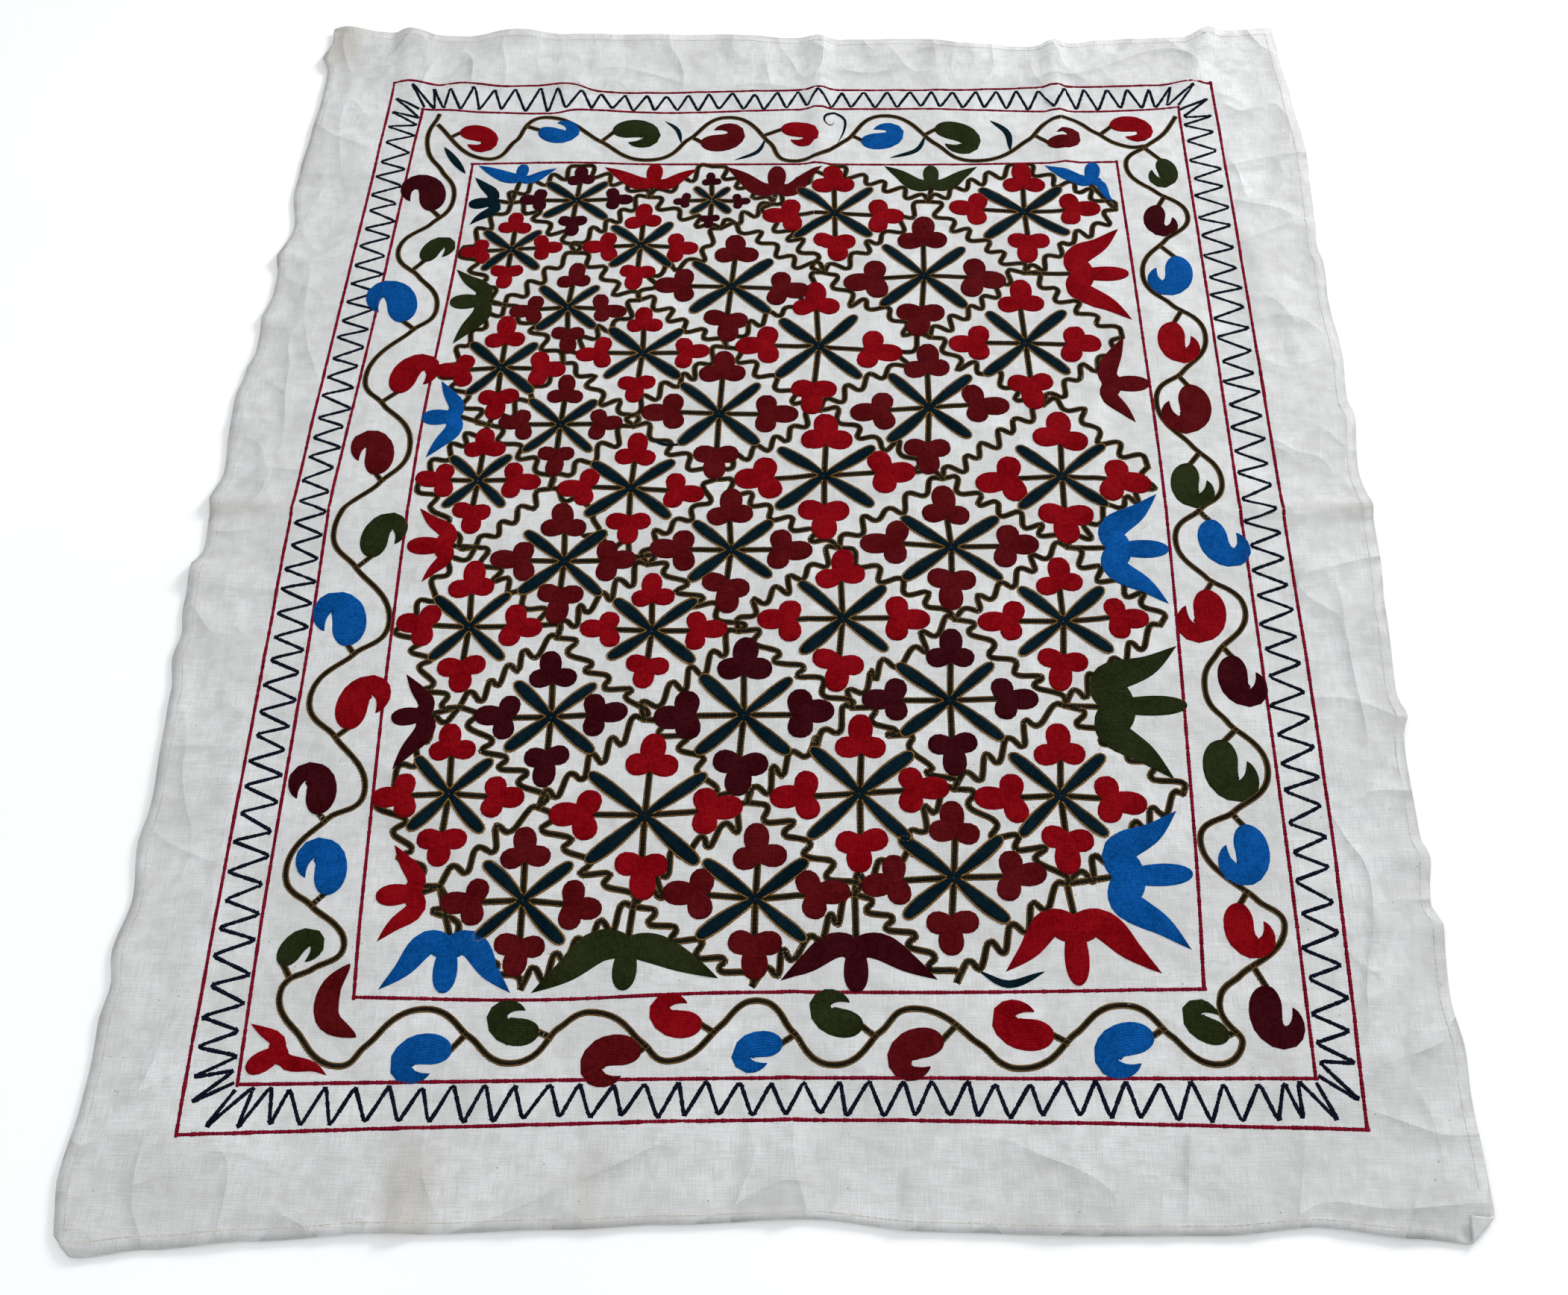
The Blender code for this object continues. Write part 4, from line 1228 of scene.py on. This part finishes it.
lines["frame"] = [smooth_line(side, LINE_STEP) for ring in (OUTER_FRAME, MIDDLE_FRAME, FIELD_FRAME)
                  for side in ring]
lines["zigzag"] = []
for outer, middle, teeth in zip(lines["frame"][0:4], lines["frame"][4:8], ZIGZAG_TEETH):
    points = []
    for half_tooth in range(2 * teeth + 1):
        share = min(max((half_tooth + 0.5 + hand.uniform(-0.2, 0.2)) / (2 * teeth + 1), 0.0), 1.0)
        out = at_shares(outer, [share])[0][0]
        inside = at_shares(middle, [inner_share(share, line_length(outer), line_length(middle))])[0][0]
        depth = hand.uniform(0.04, 0.13) if half_tooth % 2 else hand.uniform(0.90, 1.0)
        points.append(out.lerp(inside, depth))
    lines["zigzag"].append(rounded(rounded(points, 1, 0.06)[1:-1], 1, 0.2))
print({name: len(group) for name, group in lines.items()})

# %% [markdown]
# A line of chain stitch is one small loop after another. Thousands of them are needed, so one
# loop is a drop of only eight triangles, with a tail narrower than its head and a ridge between.

# %% One stitch
def stitch_drop():
    """One closed stitch, a little longer than its spacing, so that neighbours overlap."""
    mesh = bpy.data.meshes.new("stitch_drop")
    corners = ((-0.78, 0.40, 0.0), (-0.78, -0.40, 0.0), (0.52, 0.5, 0.0), (0.52, -0.5, 0.0),
               (-0.52, 0.0, 0.45), (0.24, 0.0, 1.0))
    sides = ((0, 1, 3), (0, 3, 2), (0, 2, 5), (0, 5, 4), (1, 4, 5), (1, 5, 3), (2, 3, 5), (0, 4, 1))
    mesh.from_pydata(corners, [], sides)
    shape = bmesh.new()
    shape.from_mesh(mesh)
    bmesh.ops.recalc_face_normals(shape, faces=shape.faces)
    shape.to_mesh(mesh)
    shape.free()
    mesh.shade_smooth()
    return bpy.data.objects.new("stitch_drop", mesh)


drop = stitch_drop()
print("one stitch has", len(drop.data.polygons), "triangles")

# %% [markdown]
# A Geometry Nodes tree sews the line. The path is cut to stitch lengths, a drop is put on every
# point and turned along the path, and a seeded draw makes the drops uneven. The result is
# realised, given its finish and frozen.

# %% A tree that sews chain stitch
STITCH_LENGTH, STITCH_HEIGHT = 0.0042, 0.0012
INPUTS = (("Stitch length", "NodeSocketFloat", STITCH_LENGTH), ("Stitch width", "NodeSocketFloat", 0.0020),
          ("Stitch height", "NodeSocketFloat", STITCH_HEIGHT), ("Unevenness", "NodeSocketFloat", 0.12),
          ("Seed", "NodeSocketInt", 7), ("Finish", "NodeSocketMaterial", None))


def stitch_tree(drop):
    """The node tree, with named inputs for its sizes."""
    tree = bpy.data.node_groups.new("chain_stitch", "GeometryNodeTree")
    for direction in ("INPUT", "OUTPUT"):
        tree.interface.new_socket("Geometry", in_out=direction, socket_type="NodeSocketGeometry")
    for name, kind, value in INPUTS:
        socket = tree.interface.new_socket(name, in_out="INPUT", socket_type=kind)
        if value is not None:
            socket.default_value = value

    def add(kind, settings=None, **links):
        made = tree.nodes.new(kind)
        for name, setting in (settings or {}).items():
            setattr(made, name, setting)
        for name, value in links.items():
            slot = made.inputs[name.replace("_", " ")]
            if isinstance(value, bpy.types.NodeSocket):
                tree.links.new(value, slot)
            else:
                slot.default_value = value
        return made

    given = tree.nodes.new("NodeGroupInput").outputs
    path = add("GeometryNodeMeshToCurve", Mesh=given["Geometry"])
    cut = add("GeometryNodeResampleCurve", {"mode": "LENGTH"}, Curve=path.outputs[0],
              Length=given["Stitch length"])
    heading = add("GeometryNodeInputTangent")
    turn = add("FunctionNodeAxesToRotation", {"primary_axis": "X", "secondary_axis": "Z"})
    tree.links.new(heading.outputs[0], turn.inputs[0])
    turn.inputs[1].default_value = (0.0, 0.0, 1.0)
    draw = add("FunctionNodeRandomValue", {"data_type": "FLOAT"})
    limits = [slot for slot in draw.inputs if slot.enabled and slot.type == "VALUE"]
    for operation, limit in zip(("SUBTRACT", "ADD"), limits):
        around_one = add("ShaderNodeMath", {"operation": operation})
        around_one.inputs[0].default_value = 1.0
        tree.links.new(given["Unevenness"], around_one.inputs[1])
        tree.links.new(around_one.outputs[0], limit)
    tree.links.new(given["Seed"], draw.inputs["Seed"])
    size = add("ShaderNodeCombineXYZ", X=given["Stitch length"], Y=given["Stitch width"],
               Z=given["Stitch height"])
    uneven = add("ShaderNodeVectorMath", {"operation": "SCALE"})
    tree.links.new(size.outputs[0], uneven.inputs[0])
    drawn = [slot for slot in draw.outputs if slot.enabled][0]
    tree.links.new(drawn, uneven.inputs["Scale"])
    source = add("GeometryNodeObjectInfo", Object=drop)
    placed = add("GeometryNodeInstanceOnPoints", Points=cut.outputs[0],
                 Instance=source.outputs["Geometry"], Rotation=turn.outputs[0], Scale=uneven.outputs[0])
    real = add("GeometryNodeRealizeInstances", Geometry=placed.outputs[0])
    finish = add("GeometryNodeSetMaterial", Geometry=real.outputs[0], Material=given["Finish"])
    last = tree.nodes.new("NodeGroupOutput")
    tree.links.new(finish.outputs[0], last.inputs[0])
    return tree


sewing = stitch_tree(drop)
print("sewing tree has", len(sewing.nodes), "nodes")

# %% [markdown]
# The stems, the net and the vine are three rows wide: a dark row with a brown one on each side.
# So each of those lines is drawn three times, the outer two moved sideways.

# %% Sew the lines
STITCH_LIFT, OUTLINE_LIFT = -0.0001, 0.0004
LOW_HEIGHT, CORE_HEIGHT = 0.0009, 0.0011


def beside(points, distance):
    """The same line moved to its left."""
    moved = []
    for index, point in enumerate(points):
        before = points[max(index - 1, 0)]
        after = points[min(index + 1, len(points) - 1)]
        way = (after - before).normalized()
        moved.append(point + Vector((-way.y, way.x)) * distance)
    return moved


def sew_lines(name, paths, dye, width, seed, lift=STITCH_LIFT, height=STITCH_HEIGHT,
              length=STITCH_LENGTH):
    """Sew a group of lines as one piece."""
    vertices, edges = [], []
    for path in paths:
        first = len(vertices)
        vertices += [on_cloth(point.x, point.y, lift) for point in path]
        edges += [(index, index + 1) for index in range(first, len(vertices) - 1)]
    mesh = bpy.data.meshes.new(name)
    mesh.from_pydata(vertices, edges, [])
    piece = bpy.data.objects.new(name, mesh)
    scene.collection.objects.link(piece)
    sewn = piece.modifiers.new("chain stitch", "NODES")
    sewn.node_group = sewing
    finish = yarn_finish(name + "_thread", DYES[dye], filled=False)
    values = {"Stitch length": length, "Stitch width": width, "Stitch height": height,
              "Seed": seed, "Finish": finish}
    for item in sewing.interface.items_tree:
        if item.name in values:
            sewn[item.identifier] = values[item.name]
    frozen(piece)
    print(name, len(piece.data.polygons), "triangles")
    return piece


def both_sides(paths, distance):
    """The two rows that run beside each line."""
    return [beside(path, offset) for path in paths for offset in (distance, -distance)]


rows = {name: [even_line(path) for path in group] for name, group in lines.items()}
pieces = [
    sew_lines("net_edge_stitches", both_sides(rows["triple"], 0.30), "brown", 0.0025, 11,
              height=LOW_HEIGHT),
    sew_lines("net_core_stitches", rows["triple"], "umber", 0.0070, 12, height=CORE_HEIGHT),
    sew_lines("vine_edge_stitches", both_sides(rows["vine"], 0.26), "brown", 0.0023, 13),
    sew_lines("vine_core_stitches", rows["vine"], "umber", 0.0058, 14),
    sew_lines("bar_edge_stitches", rows["bar_edge"], "ochre", 0.0022, 15, lift=OUTLINE_LIFT),
    sew_lines("frame_stitches", rows["frame"], "madder", 0.0046, 16),
    sew_lines("zigzag_stitches", rows["zigzag"], "navy", 0.0050, 17),
]

# %% [markdown]
# The hem is held by a running stitch in undyed thread, about a centimetre inside the edge. It
# uses the same tree with longer, thinner stitches.

# %% Sew the hem
HEM_LINE = 1.05 * CM
HEM_STEPS = 160
TURNED = 5.0 * CM


def hem_side(first, second):
    """A straight run along one side of the cut cloth, laid out with it."""
    spots = []
    for index in range(HEM_STEPS + 1):
        flat = first.lerp(second, index / HEM_STEPS)
        x, y = lay_out(flat.x, flat.y)
        spots.append(Vector((x / CM, y / CM)))
    return even_line(spots)


inset_x, inset_y = WIDTH / 2 - HEM_LINE, LENGTH / 2 - HEM_LINE
hem_paths = [
    hem_side(Vector((-inset_x + TURNED, inset_y)), Vector((inset_x, inset_y))),
    hem_side(Vector((inset_x, inset_y)), Vector((inset_x, -inset_y + TURNED))),
    hem_side(Vector((inset_x - TURNED, -inset_y)), Vector((-inset_x, -inset_y))),
    hem_side(Vector((-inset_x, -inset_y)), Vector((-inset_x, inset_y - TURNED))),
]
pieces.append(sew_lines("hem_stitches", hem_paths, "ecru", 0.0009, 18, height=0.0006, length=0.0070))
bpy.data.objects.remove(drop)
print("hem runs", len(hem_paths))

# %% [markdown]
# The filled shapes were kept as lists, one for each dye. Now each list becomes one mesh with its
# rows in a UV map.

# %% Turn the filled shapes into meshes
for dye, store in sorted(patches.items()):
    name = dye + "_filling"
    mesh = bpy.data.meshes.new(name)
    mesh.from_pydata(store["points"], [], store["faces"])
    rows_map = mesh.uv_layers.new(name="rows")
    rows_map.data.foreach_set("uv", [value for spot in store["uvs"] for value in spot])
    mesh.shade_smooth()
    mesh.materials.append(yarn_finish(name + "_thread", DYES[dye], filled=True))
    piece = bpy.data.objects.new(name, mesh)
    scene.collection.objects.link(piece)
    pieces.append(piece)
    print(name, len(mesh.polygons), "faces")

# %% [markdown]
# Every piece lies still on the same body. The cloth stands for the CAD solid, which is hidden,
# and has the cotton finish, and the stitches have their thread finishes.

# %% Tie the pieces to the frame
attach(ground_cloth, "root")
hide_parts("cloth")
for piece in pieces:
    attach(piece, "root")
print("pieces", 1 + len(pieces))
print("triangles", {piece.name: sum(len(polygon.vertices) - 2 for polygon in piece.data.polygons)
                    for piece in [ground_cloth] + pieces})

# %% [markdown]
# The floor is plain and pale. Most light comes from a bright, even sky, as for a cloth that is
# photographed outdoors in shade. A strong lamp at the far right shows the ridges and creases,
# and a weak one at the near left softens their shade.

# %% Floor and light
FLOOR_HALF = 7.0
FLOOR_DROP = 0.0005
FLOOR_TONES = (opaque(0.86, 0.86, 0.86), opaque(0.90, 0.90, 0.90))
SKY_COLOUR, SKY_STRENGTH = opaque(0.96, 0.98, 1.0), 0.77
# Name, place, the point it is aimed at, side in metres and power in watts.
LAMPS = (
    ("window", (3.0, 2.8, 2.0), (0.0, 0.1, 0.0), 1.3, 178.0),
    ("fill", (-1.8, -1.6, 3.0), (0.0, 0.0, 0.0), 2.5, 24.0),
)
floor_mesh = bpy.data.meshes.new("floor")
floor_corners = [(x * FLOOR_HALF, y * FLOOR_HALF, 0.0) for x, y in ((-1, -1), (1, -1), (1, 1), (-1, 1))]
floor_mesh.from_pydata(floor_corners, [], [(0, 1, 2, 3)])
floor = bpy.data.objects.new("floor", floor_mesh)
floor.location.z = -FLOOR_DROP
scene.collection.objects.link(floor)
floor_finish, floor_shader, floor_place = new_finish("pale_floor", 0.85)
floor_tone = mixed(clouds(floor_place, 1.2).over(0.5, 0.6), *FLOOR_TONES)
floor_finish.node_tree.links.new(floor_tone.socket, floor_shader.inputs["Base Color"])
floor_mesh.materials.append(floor_finish)

for name, stand, aim, size, power in LAMPS:
    lamp = bpy.data.objects.new(name, bpy.data.lights.new(name, "AREA"))
    lamp.data.size = size
    lamp.data.energy = power
    lamp.location = stand
    lamp.rotation_euler = (Vector(aim) - Vector(stand)).to_track_quat("-Z", "Y").to_euler()
    scene.collection.objects.link(lamp)
world = bpy.data.worlds.new("even sky")
world.use_nodes = True
sky = world.node_tree.nodes["Background"].inputs
sky["Color"].default_value = SKY_COLOUR
sky["Strength"].default_value = SKY_STRENGTH
scene.world = world
